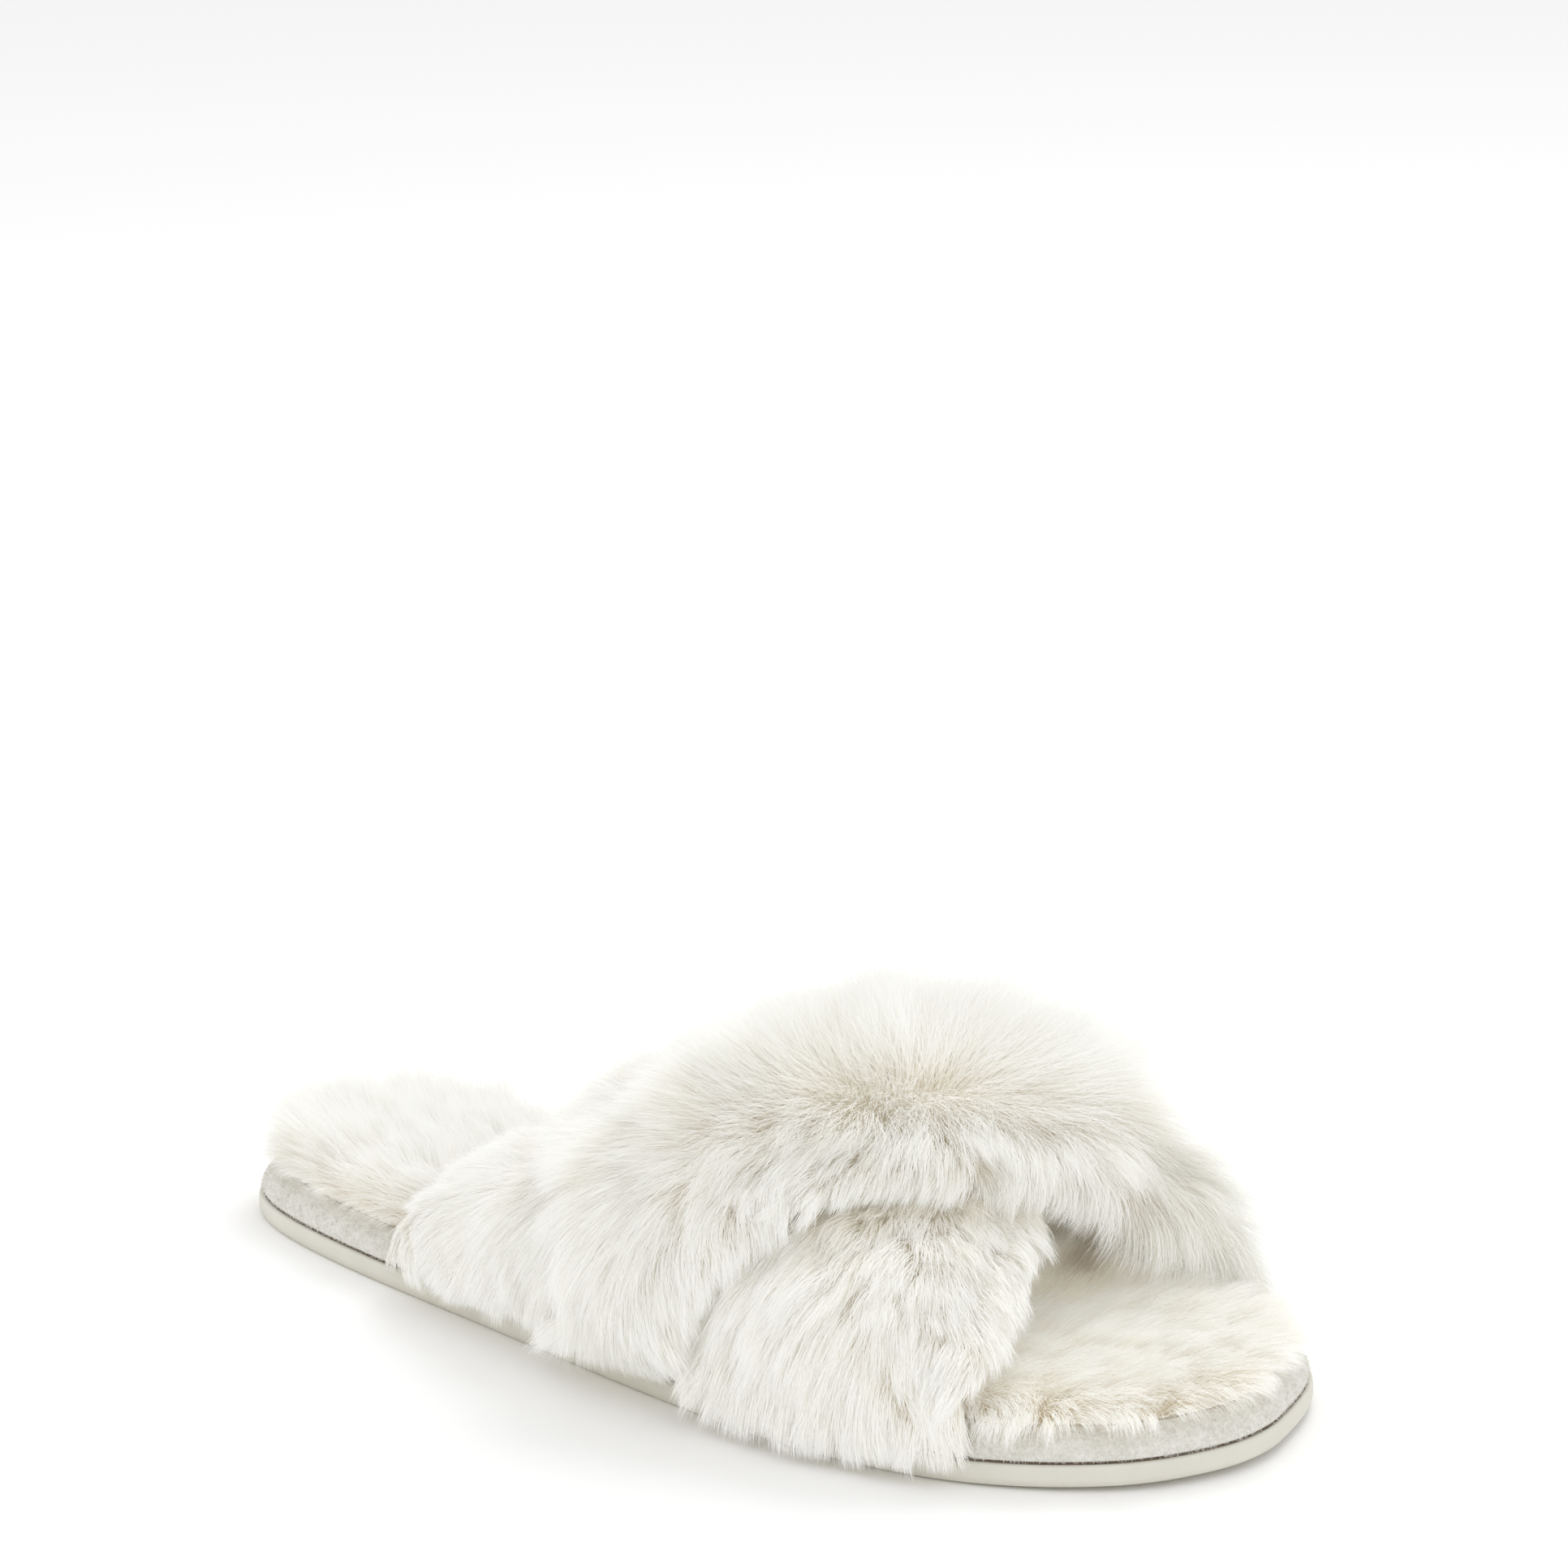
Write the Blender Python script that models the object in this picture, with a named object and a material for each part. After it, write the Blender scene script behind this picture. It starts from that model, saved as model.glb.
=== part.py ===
"""Fluffy cross-band house slipper for a right foot, as an assembly of its separate pieces.

Metres, +Z up, +X towards the toe, +Y towards the inner side of the foot. The origin is on the
floor under the middle of the sole.

The sole is a stack of layers that share one outline. Each band is a stack of layers on one
arched base surface, on which x is the distance along the shoe and s runs from 0 at the outer
edge of the sole, over the foot, to 1 at the inner edge. A little below 0 and above 1 the bands'
fabric turns in under the insole board.
"""
import bmesh
import bpy
import numpy as np

MM = 0.001
GAP = 0.3 * MM                      # clearance between neighbouring pieces

# Sole outline seen from above: back of the heel, outer side, toe, inner side.
OUTLINE = MM * np.array([
    (-127.5, 0), (-119, -18), (-94, -28), (-31, -37), (30, -44), (62, -44.5), (93, -37.5),
    (116.5, -22), (127, -3), (126.5, 14), (113, 39.5), (84, 47.5), (46, 45), (0, 34.5),
    (-46, 29.5), (-82, 31.5), (-108, 26), (-122, 15)])
OUTLINE_STEPS = 60                  # points on the finished outline
FINE_STEPS = 400                    # points on the one that widths are read from
TOE_SPRING = 1.5 * MM               # how far the toe curls up off the floor
SPRING_START = 64 * MM              # x where the curl starts

# Heights above the floor.
OUTSOLE_TOP = 4.5 * MM
RECESS_FLOOR = 2.2 * MM
LASTING_TOP = 6.1 * MM              # top of the bands' turned-under ends
BOARD_BOTTOM = 6.4 * MM
BOARD_TOP = 7.6 * MM
FOAM_EDGE = 8.8 * MM
FOAM_TOP = 10.6 * MM

# Insets from the sole outline.
RECESS_INSET = 7 * MM
WRAP_INSET_OPEN = 0.8 * MM          # face of the wrap band at the toe and the heel
WRAP_INSET_HELD = 2.9 * MM          # and where the bands' fabric passes outside it
WRAP_THICKNESS = 2.0 * MM
WRAP_LIP = 4.8 * MM                 # how far the wrap reaches in over the foam
CROWN_INSET = 9.7 * MM              # from the board's edge to the level top of the foam
LASTING_INSET = 13 * MM             # inner end of the bands' turned-under ends
BAND_INSET = 2.1 * MM               # inner face of the bands where they leave the sole
HELD_ZONE = (-78 * MM, -66 * MM, 91 * MM, 101 * MM)   # where the bands hold the sole's edge

# Footbed pile height along the shoe.
PILE_X = MM * np.array([-128, -95, -60, 0, 60, 100, 128])
PILE_HEIGHT = MM * np.array([10, 13, 9, 6.5, 6.5, 7, 5])

# Bands: where their back and front edges lie along the shoe, at the outer edge of the sole, the
# outer shoulder of the arch, its crest, its inner shoulder and the inner edge of the sole.
STATIONS = np.array([0, 0.25, 0.5, 0.75, 1])
OVER = MM * np.array([(-62, -41, -19, 2, 24), (26, 47, 64, 76, 87)])
UNDER = MM * np.array([(33, 8, -19, -41, -60), (88, 86, 68, 41, 15)])

# Arch that the bands' inner faces lie on.
CREST_X = MM * np.array([-70, -40, -20, 0, 20, 40, 60, 80, 100])
CREST_Z = MM * np.array([25.2, 32.2, 37.2, 41.7, 45.2, 44.2, 37.7, 30.2, 24.2])
ARCH_FOOT = 7.7 * MM                # height where the arch leaves the sole's edge
ARCH_FULLNESS = 0.6                 # 1 is a half ellipse, less is squarer at the shoulders
CREST_SHIFT = 8 * MM                # the crest lies towards the inner side, as on a foot

# Layers of a band.
LINING = 0.9 * MM
TUCKED = 0.5 * MM                   # fabric pressed under the board
THREAD = 0.35 * MM                  # seam thread diameter
INTERLINING_EDGE = 0.8 * MM
INTERLINING_CROWN = 2.2 * MM        # added to the edge thickness at the middle of the band
KNIT = 0.8 * MM                     # ground of the fur fabric
PRESSED_PILE = 1.5 * MM             # pile of the under band below the over band
PRESSED_MARGIN = 10 * MM            # how far the pressed pile shows past the over band's edge
PRESSED_RAMP = 10 * MM              # and the width over which it then rises to full height
CROSSING_GAP = 1.3 * MM             # between the under band's pile and the over band's lining
CLIMB_MARGIN = 6 * MM               # how far before the under band's edge the climb ends
CLIMB = 20 * MM                     # width over which the over band climbs onto the under band
CLIMB_END = 0.045                   # s by which the climb from the sole's edge is complete
ACROSS = np.array([-1, -0.85, -0.6, -0.3, 0, 0.3, 0.6, 0.85, 1])
OVER_PILE = MM * np.array([2.5, 5, 7, 9.5, 13, 16, 17, 14.5, 6])      # at ACROSS, on the crest
UNDER_PILE = MM * np.array([2.5, 7, 8.5, 9.5, 10, 11, 11.5, 10, 4])
SIDE_PILE = (0.5, 0.75)             # share of that height at the sole's outer and inner edges

# Lines along a band's path: turned under, up the side, and half of the arch.
TUCK_LINES = np.array([-0.12, -0.065, -0.012, -0.004])
TUCK_END = -0.002                   # s above which the fabric has its full thickness
ARCH_LINES = np.array([0, 0.02, 0.045, 0.08, 0.13, 0.19, 0.26, 0.34, 0.42])
HANG_LINE = -0.02                   # lower end of the pile, outside the sole's edge
HANG = 4.5 * MM                     # how far it hangs there below the arch's foot
FOAM_END = 0.04                     # share of the path at each end without foam
SEAM_END = 0.06                     # and without the edge seams

# Outsole tread: grooves across the ball and the heel.
GROOVE_WIDTH = 2.2 * MM
GROOVE_DEPTH = 1.2 * MM
GROOVE_EDGE = 9 * MM                # land left between a groove and the sole's edge
GROOVE_RUNS = ((-108, -52, 8), (20, 92, 8))     # first x, last x and pitch, in millimetres

SHARP = 0.7                         # radians; a sharper edge than this is not smoothed

IVORY = (0.79, 0.77, 0.69)
CREAM = (0.83, 0.82, 0.77)
WHITE = (0.87, 0.87, 0.83)
TAN = (0.66, 0.58, 0.46)


# ---------------------------------------------------------------- the sole's outline

def closed_curve(points, steps):
    """Smooth closed curve through points, sampled at equal lengths; also its outward normals."""
    ahead, behind = np.roll(points, -1, axis=0), np.roll(points, 1, axis=0)
    chord = np.linalg.norm(ahead - points, axis=1)
    slope = (ahead - behind) / (chord + np.roll(chord, 1))[:, None]
    t = np.linspace(0, 1, 40, endpoint=False)[:, None]
    fine = []
    for i in range(len(points)):
        j = (i + 1) % len(points)
        a, b = chord[i] * slope[i], chord[i] * slope[j]
        fine.append((2 * t**3 - 3 * t**2 + 1) * points[i] + (t**3 - 2 * t**2 + t) * a
                    + (3 * t**2 - 2 * t**3) * points[j] + (t**3 - t**2) * b)
    fine = np.vstack(fine + [points[:1]])
    length = np.concatenate([[0], np.cumsum(np.linalg.norm(np.diff(fine, axis=0), axis=1))])
    at = np.linspace(0, length[-1], steps, endpoint=False)
    curve = np.column_stack([np.interp(at, length, fine[:, k]) for k in (0, 1)])
    tangent = np.roll(curve, -1, axis=0) - np.roll(curve, 1, axis=0)
    normal = np.column_stack([tangent[:, 1], -tangent[:, 0]])
    return curve, normal / np.linalg.norm(normal, axis=1)[:, None]


EDGE, EDGE_NORMAL = closed_curve(OUTLINE, OUTLINE_STEPS)
FINE_EDGE, _ = closed_curve(OUTLINE, FINE_STEPS)


def half_width(x, side):
    """Distance from the shoe's long axis to the sole's edge, on side -1 (outer) or +1 (inner)."""
    half = FINE_EDGE[FINE_EDGE[:, 1] * side > 0]
    half = half[np.argsort(half[:, 0])]
    return np.interp(x, half[:, 0], half[:, 1] * side)


def smoothstep(x):
    x = np.clip(x, 0, 1)
    return x * x * (3 - 2 * x)


def held(x):
    """1 where the bands hold the sole's edge, 0 at the open toe and heel."""
    a, b, c, d = HELD_ZONE
    return smoothstep((x - a) / (b - a)) * (1 - smoothstep((x - c) / (d - c)))


def blend(open_value, held_value):
    """A size along the outline that differs between the open ends and the held zone."""
    return open_value + (held_value - open_value) * held(EDGE[:, 0])


def ring(inset, z):
    """The outline moved in by inset at height z; both may vary along it."""
    flat = EDGE - EDGE_NORMAL * np.broadcast_to(inset, len(EDGE))[:, None]
    return np.column_stack([flat, np.broadcast_to(z, len(EDGE))])


# ---------------------------------------------------------------- mesh builders

def material(name, colour, roughness):
    result = bpy.data.materials.new(name)
    result.use_nodes = True
    shader = result.node_tree.nodes["Principled BSDF"]
    shader.inputs["Base Color"].default_value = (*colour, 1)
    shader.inputs["Roughness"].default_value = roughness
    shader.inputs["Metallic"].default_value = 0
    return result


def toe_curl(x):
    """Height that the toe spring adds at x."""
    reach = EDGE[:, 0].max() - SPRING_START
    return TOE_SPRING * (np.clip(x - SPRING_START, 0, None) / reach) ** 2


def add_object(name, points, faces, finish):
    """One named object from points and faces, with the toe spring and outward normals."""
    points = np.array(points)
    points[:, 2] += toe_curl(points[:, 0])
    mesh = bpy.data.meshes.new(name)
    mesh.from_pydata(points.tolist(), [], faces)
    shape = bmesh.new()
    shape.from_mesh(mesh)
    bmesh.ops.recalc_face_normals(shape, faces=shape.faces)
    if shape.calc_volume(signed=True) < 0:
        bmesh.ops.reverse_faces(shape, faces=shape.faces)
    shape.to_mesh(mesh)
    shape.free()
    mesh.materials.append(finish)
    mesh.shade_smooth()
    mesh.set_sharp_from_angle(angle=SHARP)
    item = bpy.data.objects.new(name, mesh)
    bpy.context.collection.objects.link(item)
    return item


def cap(first, count):
    """Faces that close a ring, side to side across the shoe, starting at its vertex first."""
    faces = [(first, first + 1, first + count - 1)]
    for i in range(1, (count - 1) // 2):
        faces.append((first + i, first + i + 1, first + count - i - 1, first + count - i))
    if count % 2 == 0:
        middle = first + count // 2
        faces.append((middle - 1, middle, middle + 1))
    return faces


def loft(name, rings, finish, closed=False):
    """Skin over a list of rings; closed joins the last ring to the first, else both are capped."""
    count = len(rings[0])
    faces = []
    for k in range(len(rings) - (0 if closed else 1)):
        low, high = k * count, (k + 1) % len(rings) * count
        for i in range(count):
            j = (i + 1) % count
            faces.append((low + i, low + j, high + j, high + i))
    if not closed:
        faces += cap(0, count) + cap((len(rings) - 1) * count, count)
    return add_object(name, np.vstack(rings), faces, finish)


def slab(name, inner, outer, finish):
    """Closed sheet between two grids of points of the same size."""
    rows, columns = inner.shape[:2]
    size = rows * columns
    faces = []
    for i in range(rows - 1):
        for j in range(columns - 1):
            a, b = i * columns + j, i * columns + j + 1
            c, d = b + columns, a + columns
            # The same diagonal on every layer keeps the gaps between layers even.
            faces += [(a, b, c), (a, c, d), (c + size, b + size, a + size),
                      (d + size, c + size, a + size)]
    border = ([(0, j) for j in range(columns)] + [(i, columns - 1) for i in range(1, rows)]
              + [(rows - 1, j) for j in range(columns - 2, -1, -1)]
              + [(i, 0) for i in range(rows - 2, 0, -1)])
    border = [i * columns + j for i, j in border]
    for a, b in zip(border, border[1:] + border[:1]):
        faces.append((a, b, b + size, a + size))
    points = np.vstack([inner.reshape(-1, 3), outer.reshape(-1, 3)])
    return add_object(name, points, faces, finish)


def tube(name, path, radius, finish, closed=False, sides=5):
    """Round thread along a path of points."""
    if closed:
        tangent = np.roll(path, -1, axis=0) - np.roll(path, 1, axis=0)
    else:
        tangent = np.gradient(path, axis=0)
    tangent /= np.linalg.norm(tangent, axis=1)[:, None]
    side = np.cross(tangent, (0, 0, 1) if closed else (1, 0, 0))
    side /= np.linalg.norm(side, axis=1)[:, None]
    up = np.cross(side, tangent)
    turns = np.linspace(0, 2 * np.pi, sides, endpoint=False)
    rings = [path[i] + radius * (np.cos(turns)[:, None] * side[i] + np.sin(turns)[:, None] * up[i])
             for i in range(len(path))]
    return loft(name, rings, finish, closed)


# ---------------------------------------------------------------- the sole

def cut_tread(outsole):
    """Cut grooves across the ball and the heel of the outsole's underside."""
    shape = bmesh.new()
    for first, last, pitch in GROOVE_RUNS:
        for x in np.arange(first, last + 1, pitch) * MM:
            low, high = -half_width(x, -1) + GROOVE_EDGE, half_width(x, 1) - GROOVE_EDGE
            box = bmesh.ops.create_cube(shape, size=1)["verts"]
            bmesh.ops.scale(shape, verts=box, vec=(GROOVE_WIDTH, high - low, 2 * GROOVE_DEPTH))
            bmesh.ops.translate(shape, verts=box, vec=(x, (low + high) / 2, toe_curl(x)))
    mesh = bpy.data.meshes.new("tread_cutter")
    shape.to_mesh(mesh)
    shape.free()
    cutter = bpy.data.objects.new("tread_cutter", mesh)
    bpy.context.collection.objects.link(cutter)
    cutter.hide_render = True
    cutter.display_type = "WIRE"
    cut = outsole.modifiers.new("tread", "BOOLEAN")
    cut.operation = "DIFFERENCE"
    cut.object = cutter


def build_outsole():
    rubber = material("moulded_rubber", IVORY, 0.55)
    rings = [ring(2.0 * MM, 0), ring(0.6 * MM, 0.45 * MM), ring(0, 1.6 * MM),
             ring(0, OUTSOLE_TOP - 1.0 * MM), ring(0.3 * MM, OUTSOLE_TOP - 0.3 * MM),
             ring(0.9 * MM, OUTSOLE_TOP), ring(RECESS_INSET, OUTSOLE_TOP),
             ring(RECESS_INSET, RECESS_FLOOR)]
    cut_tread(loft("outsole", rings, rubber))


def build_fillers():
    """Soft block in the outsole's recess, and the sheet level with the turned-under fabric."""
    inset = RECESS_INSET + GAP
    loft("sole_filler", [ring(inset, RECESS_FLOOR + GAP), ring(inset, OUTSOLE_TOP - GAP)],
         material("filler_foam", WHITE, 0.9))
    inset = blend(WRAP_INSET_OPEN + WRAP_THICKNESS + GAP, LASTING_INSET + 2 * GAP)
    loft("lasting_filler", [ring(inset, OUTSOLE_TOP + GAP), ring(inset, LASTING_TOP)],
         material("filler_felt", TAN, 0.95))


def build_footbed():
    face = blend(WRAP_INSET_OPEN, WRAP_INSET_HELD)
    bottom = blend(OUTSOLE_TOP + GAP, BOARD_BOTTOM + GAP)
    core = face + WRAP_THICKNESS + GAP
    loft("insole_board", [ring(core, BOARD_BOTTOM), ring(core, BOARD_TOP)],
         material("fibreboard", TAN, 0.85))

    # Foam with a skived edge, and the wrap band round it with the same profile.
    lip, crown = face + WRAP_LIP, core + CROWN_INSET
    loft("footbed_foam",
         [ring(core, BOARD_TOP + GAP), ring(core, FOAM_EDGE - 1.0 * MM),
          ring(core + 0.9 * MM, FOAM_EDGE), ring(lip, FOAM_EDGE + 0.5 * MM),
          ring(crown, FOAM_TOP)],
         material("memory_foam", CREAM, 0.9))
    lip_low = FOAM_EDGE + 0.5 * MM + GAP
    wall = np.maximum(bottom + 0.8 * MM, FOAM_EDGE - 2.2 * MM)
    loft("footbed_wrap",
         [ring(face + 0.5 * MM, bottom), ring(face, bottom + 0.5 * MM), ring(face + 0.1 * MM, wall),
          ring(face + 0.9 * MM, FOAM_EDGE - 0.6 * MM), ring(face + 2.0 * MM, FOAM_EDGE + 0.4 * MM),
          ring(face + 3.2 * MM, FOAM_EDGE + 1.1 * MM), ring(lip, lip_low + 1.0 * MM),
          ring(lip, lip_low), ring(core + 0.7 * MM, FOAM_EDGE + 0.4 * MM),
          ring(core - GAP, FOAM_EDGE - 0.7 * MM), ring(core - GAP, bottom)],
         material("short_nap_knit", WHITE, 0.95), closed=True)
    tube("footbed_seam_thread", ring(lip - 0.5 * MM, lip_low + 1.0 * MM + GAP + THREAD / 2),
         THREAD / 2, material("footbed_thread", CREAM, 0.7), closed=True)

    # Ground of the footbed's fur fabric, inside the wrap's lip, and its pile.
    start, foam = lip + GAP, FOAM_TOP + GAP
    loft("footbed_knit",
         [ring(crown, foam), ring(start, lip_low + 0.1 * MM),
          ring(start, lip_low + 0.1 * MM + KNIT), ring(crown, foam + KNIT)],
         material("footbed_ground_knit", CREAM, 0.95))
    height = np.interp(EDGE[:, 0], PILE_X, PILE_HEIGHT)
    base = foam + KNIT + GAP
    loft("footbed_pile",
         [ring(crown, base), ring(start + 0.4 * MM, lip_low + 0.2 * MM + KNIT + GAP),
          ring(start - 1.2 * MM, base + 0.3 * height), ring(start - 0.6 * MM, base + 0.6 * height),
          ring(start + 2.5 * MM, base + 0.88 * height), ring(start + 8 * MM, base + height)],
         material("footbed_fur", WHITE, 0.9))


# ---------------------------------------------------------------- the bands

def arch_point(x, s, hanging):
    """Base surface of the bands. Below s = 0 and above s = 1 it turns in under the board, or,
    for hanging pile, goes straight down."""
    x, s = np.broadcast_arrays(x, s)
    beyond = np.minimum(s, 1 - s)
    across = np.clip(s, 0, 1)
    if hanging:
        inset = np.full(s.shape, BAND_INSET)
        foot = ARCH_FOOT - np.minimum(beyond, 0) / HANG_LINE * HANG
    else:
        inset = np.interp(beyond, np.append(TUCK_LINES, 0),
                          [LASTING_INSET, 8 * MM, BAND_INSET + 0.8 * MM, BAND_INSET + 0.1 * MM,
                           BAND_INSET])
        foot = np.interp(beyond, np.append(TUCK_LINES, 0),
                         [LASTING_TOP, LASTING_TOP, LASTING_TOP, LASTING_TOP + GAP, ARCH_FOOT])
    outer, inner = half_width(x, -1) - inset, half_width(x, 1) - inset
    rise = np.sin(np.pi * across)
    crest = np.interp(x, CREST_X, CREST_Z) - ARCH_FOOT
    y = (inner - outer) / 2 - (inner + outer) / 2 * np.cos(np.pi * across)
    return np.stack([x, y + CREST_SHIFT * rise**2, foot + crest * rise**ARCH_FULLNESS], axis=-1)


def arch_normal(x, s, hanging):
    """Unit normal of the base surface, away from the foot."""
    dx, ds = 4 * MM, 0.003
    along = arch_point(x + dx, s, hanging) - arch_point(x - dx, s, hanging)
    over = arch_point(x, s + ds, hanging) - arch_point(x, s - ds, hanging)
    normal = np.cross(along, over)
    return normal / np.linalg.norm(normal, axis=-1)[..., None]


def band_edges(band, s):
    """Centre line and half width of a band at s, along the shoe."""
    back, front = (np.polyval(np.polyfit(STATIONS, edge, 4), np.clip(s, 0, 1)) for edge in band)
    return (back + front) / 2, (front - back) / 2


def beyond_band(band, x, s):
    """How far x lies outside a band's nearer edge; negative inside the band."""
    centre, half = band_edges(band, s)
    return np.abs(x - centre) - half


def interlining(v, s):
    """Thickness of the foam inside a band."""
    crown = 1 - np.clip(np.abs(v) / 0.85, 0, 1) ** 4
    end = smoothstep((np.minimum(s, 1 - s) - 0.045) / 0.1)
    return INTERLINING_EDGE + INTERLINING_CROWN * crown * end


def knit_offset(v, s):
    """Inner face of a band's knit ground above its base: over the lining, thread and foam, and
    flat on the tucked lining where both are turned under."""
    body = LINING + interlining(v, s) + 2 * GAP
    turned = TUCKED + GAP
    up = np.interp(np.minimum(s, 1 - s), (-0.012, -0.004, 0, 0.02), (0, 0.3, 0.8, 1))
    return turned + (body - turned) * up


def side_share(s):
    """Pile height along a band's path, as a share of the height on the crest."""
    side = np.where(s < 0.5, *SIDE_PILE)
    low = side * np.interp(np.minimum(s, 1 - s), (HANG_LINE, 0), (0.6, 1))
    return low + (1 - low) * np.sin(np.pi * np.clip(s, 0, 1))


def pile_height(over, v, s, x):
    """Height of a band's pile; the under band's is pressed flat below the over band."""
    full = np.interp(v, ACROSS, OVER_PILE if over else UNDER_PILE) * side_share(s)
    if over:
        return full
    free = smoothstep((beyond_band(OVER, x, s) - PRESSED_MARGIN) / PRESSED_RAMP)
    return PRESSED_PILE + (full - PRESSED_PILE) * free


def lift(x, s):
    """How far the over band stands off the base to pass over the under band."""
    centre, half = band_edges(UNDER, s)
    inside = np.clip((x - centre) / half, -1, 1)
    height = knit_offset(inside, s) + KNIT + GAP + PRESSED_PILE + CROSSING_GAP
    climbed = 1 - smoothstep((beyond_band(UNDER, x, s) - CLIMB_MARGIN) / CLIMB)
    return height * climbed * smoothstep(np.minimum(s, 1 - s) / CLIMB_END)


def path_lines(start):
    """Lines along a band's path from start, mirrored about the crest."""
    first = np.concatenate([start, ARCH_LINES])
    return np.concatenate([first, [0.5], 1 - first[::-1]])


def build_band(name, band, over, colours):
    """The layers of one band, from the foot outwards."""
    def grid(lines, across, hanging=False):
        """Where a grid of points lies on the band, and a function that lifts it off the base."""
        s, v = np.meshgrid(lines, across, indexing="ij")
        centre, half = band_edges(band, s)
        x = centre + v * half
        base, normal = arch_point(x, s, hanging), arch_normal(x, s, hanging)
        if over:
            base = base + normal * lift(x, s)[..., None]
        return s, v, x, lambda height: base + normal * np.broadcast_to(height, s.shape)[..., None]

    s, v, x, raised = grid(path_lines(TUCK_LINES), ACROSS)
    turned = np.minimum(s, 1 - s) < TUCK_END
    slab(name + "_lining", raised(0), raised(np.where(turned, TUCKED, LINING)),
         material(name + "_lining_fleece", colours[0], 0.95))
    low = knit_offset(v, s)
    slab(name + "_knit", raised(low), raised(low + np.where(turned, TUCKED, KNIT)),
         material(name + "_ground_knit", colours[2], 0.95))

    lines = path_lines([])
    s, v, x, raised = grid(lines[(lines > FOAM_END) & (lines < 1 - FOAM_END)], ACROSS[1:-1])
    low = LINING + GAP
    slab(name + "_foam", raised(low), raised(low + interlining(v, s)),
         material(name + "_interlining_foam", colours[1], 0.9))

    s, v, x, raised = grid(path_lines([HANG_LINE]), ACROSS, hanging=True)
    low = knit_offset(v, np.clip(s, 0.02, 0.98)) + KNIT + GAP
    slab(name + "_pile", raised(low), raised(low + pile_height(over, v, s, x)),
         material(name + "_fur", colours[3], 0.9))

    for edge, columns in (("back", ACROSS[:2]), ("front", ACROSS[-2:])):
        _, _, _, raised = grid(lines[(lines > SEAM_END) & (lines < 1 - SEAM_END)], columns)
        seam = raised(LINING + GAP + INTERLINING_EDGE / 2)
        # Over the middle of each line and each diagonal, to stay inside the gap between layers.
        path = np.empty((2 * len(seam) - 1, 3))
        path[::2] = seam.mean(axis=1)
        path[1::2] = (seam[:-1, 0] + seam[1:, 1]) / 2
        tube(f"{name}_{edge}_thread", path, THREAD / 2,
             material(f"{name}_{edge}_seam", CREAM, 0.7))


def main():
    for item in list(bpy.data.objects):
        bpy.data.objects.remove(item)
    build_outsole()
    build_fillers()
    build_footbed()
    build_band("under_band", UNDER, False, (WHITE, CREAM, CREAM, WHITE))
    build_band("over_band", OVER, True, (WHITE, CREAM, CREAM, WHITE))


main()
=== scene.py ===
"""Fluffy cross-band house slipper: fur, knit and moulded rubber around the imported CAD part.

Metres, +Z up, +X to the toe, +Y to the inner side of the foot. The bands lie on one arched surface:
x runs along the shoe, and s from 0 at the sole's outer edge, over the foot, to 1 at its inner edge.
v runs across a band, from -1 at its back edge to 1 at its front edge.
"""
import math

import bmesh
import bpy
import numpy as np
from mathutils import Matrix
from mathutils.kdtree import KDTree


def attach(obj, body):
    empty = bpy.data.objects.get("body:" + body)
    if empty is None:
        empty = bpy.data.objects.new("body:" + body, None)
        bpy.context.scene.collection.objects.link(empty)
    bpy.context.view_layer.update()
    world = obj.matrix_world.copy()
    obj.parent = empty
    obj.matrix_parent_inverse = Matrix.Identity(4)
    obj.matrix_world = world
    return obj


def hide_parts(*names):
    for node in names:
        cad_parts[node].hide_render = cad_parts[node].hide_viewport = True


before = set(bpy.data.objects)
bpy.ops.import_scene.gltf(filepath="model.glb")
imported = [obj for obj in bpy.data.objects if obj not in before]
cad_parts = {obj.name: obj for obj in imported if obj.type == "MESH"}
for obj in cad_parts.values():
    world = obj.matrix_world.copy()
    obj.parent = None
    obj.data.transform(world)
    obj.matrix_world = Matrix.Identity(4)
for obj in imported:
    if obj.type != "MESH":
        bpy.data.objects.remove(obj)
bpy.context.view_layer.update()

scene = bpy.context.scene
MM = 0.001
GAP = 0.3 * MM
rng = np.random.default_rng(21)

# ---- sizes shared with the CAD
OUTLINE = MM * np.array([
    (-127.5, 0), (-119, -18), (-94, -28), (-31, -37), (30, -44), (62, -44.5), (93, -37.5),
    (116.5, -22), (127, -3), (126.5, 14), (113, 39.5), (84, 47.5), (46, 45), (0, 34.5),
    (-46, 29.5), (-82, 31.5), (-108, 26), (-122, 15)])
TOE_SPRING = 1.5 * MM
SPRING_START = 64 * MM
OUTSOLE_TOP = 4.5 * MM
RECESS_FLOOR = 2.2 * MM
LASTING_TOP = 6.1 * MM
BOARD_BOTTOM = 6.4 * MM
BOARD_TOP = 7.6 * MM
FOAM_EDGE = 8.8 * MM
FOAM_TOP = 10.6 * MM
RECESS_INSET = 7 * MM
WRAP_INSET_OPEN = 0.8 * MM
WRAP_INSET_HELD = 2.9 * MM
WRAP_THICKNESS = 2.0 * MM
WRAP_LIP = 4.8 * MM
CROWN_INSET = 9.7 * MM
LASTING_INSET = 13 * MM
BAND_INSET = 2.1 * MM
HELD_ZONE = (-67 * MM, -62.5 * MM, 88.5 * MM, 93 * MM)
PILE_X = MM * np.array([-128, -95, -60, 0, 60, 100, 128])
PILE_HEIGHT = MM * np.array([10, 13, 9, 6.5, 6.5, 7, 5])
STATIONS = np.array([0, 0.25, 0.5, 0.75, 1])
OVER = MM * np.array([(-62, -41, -19, 2, 24), (26, 47, 64, 76, 87)])
UNDER = MM * np.array([(33, 8, -19, -41, -60), (88, 86, 68, 41, 15)])
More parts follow.
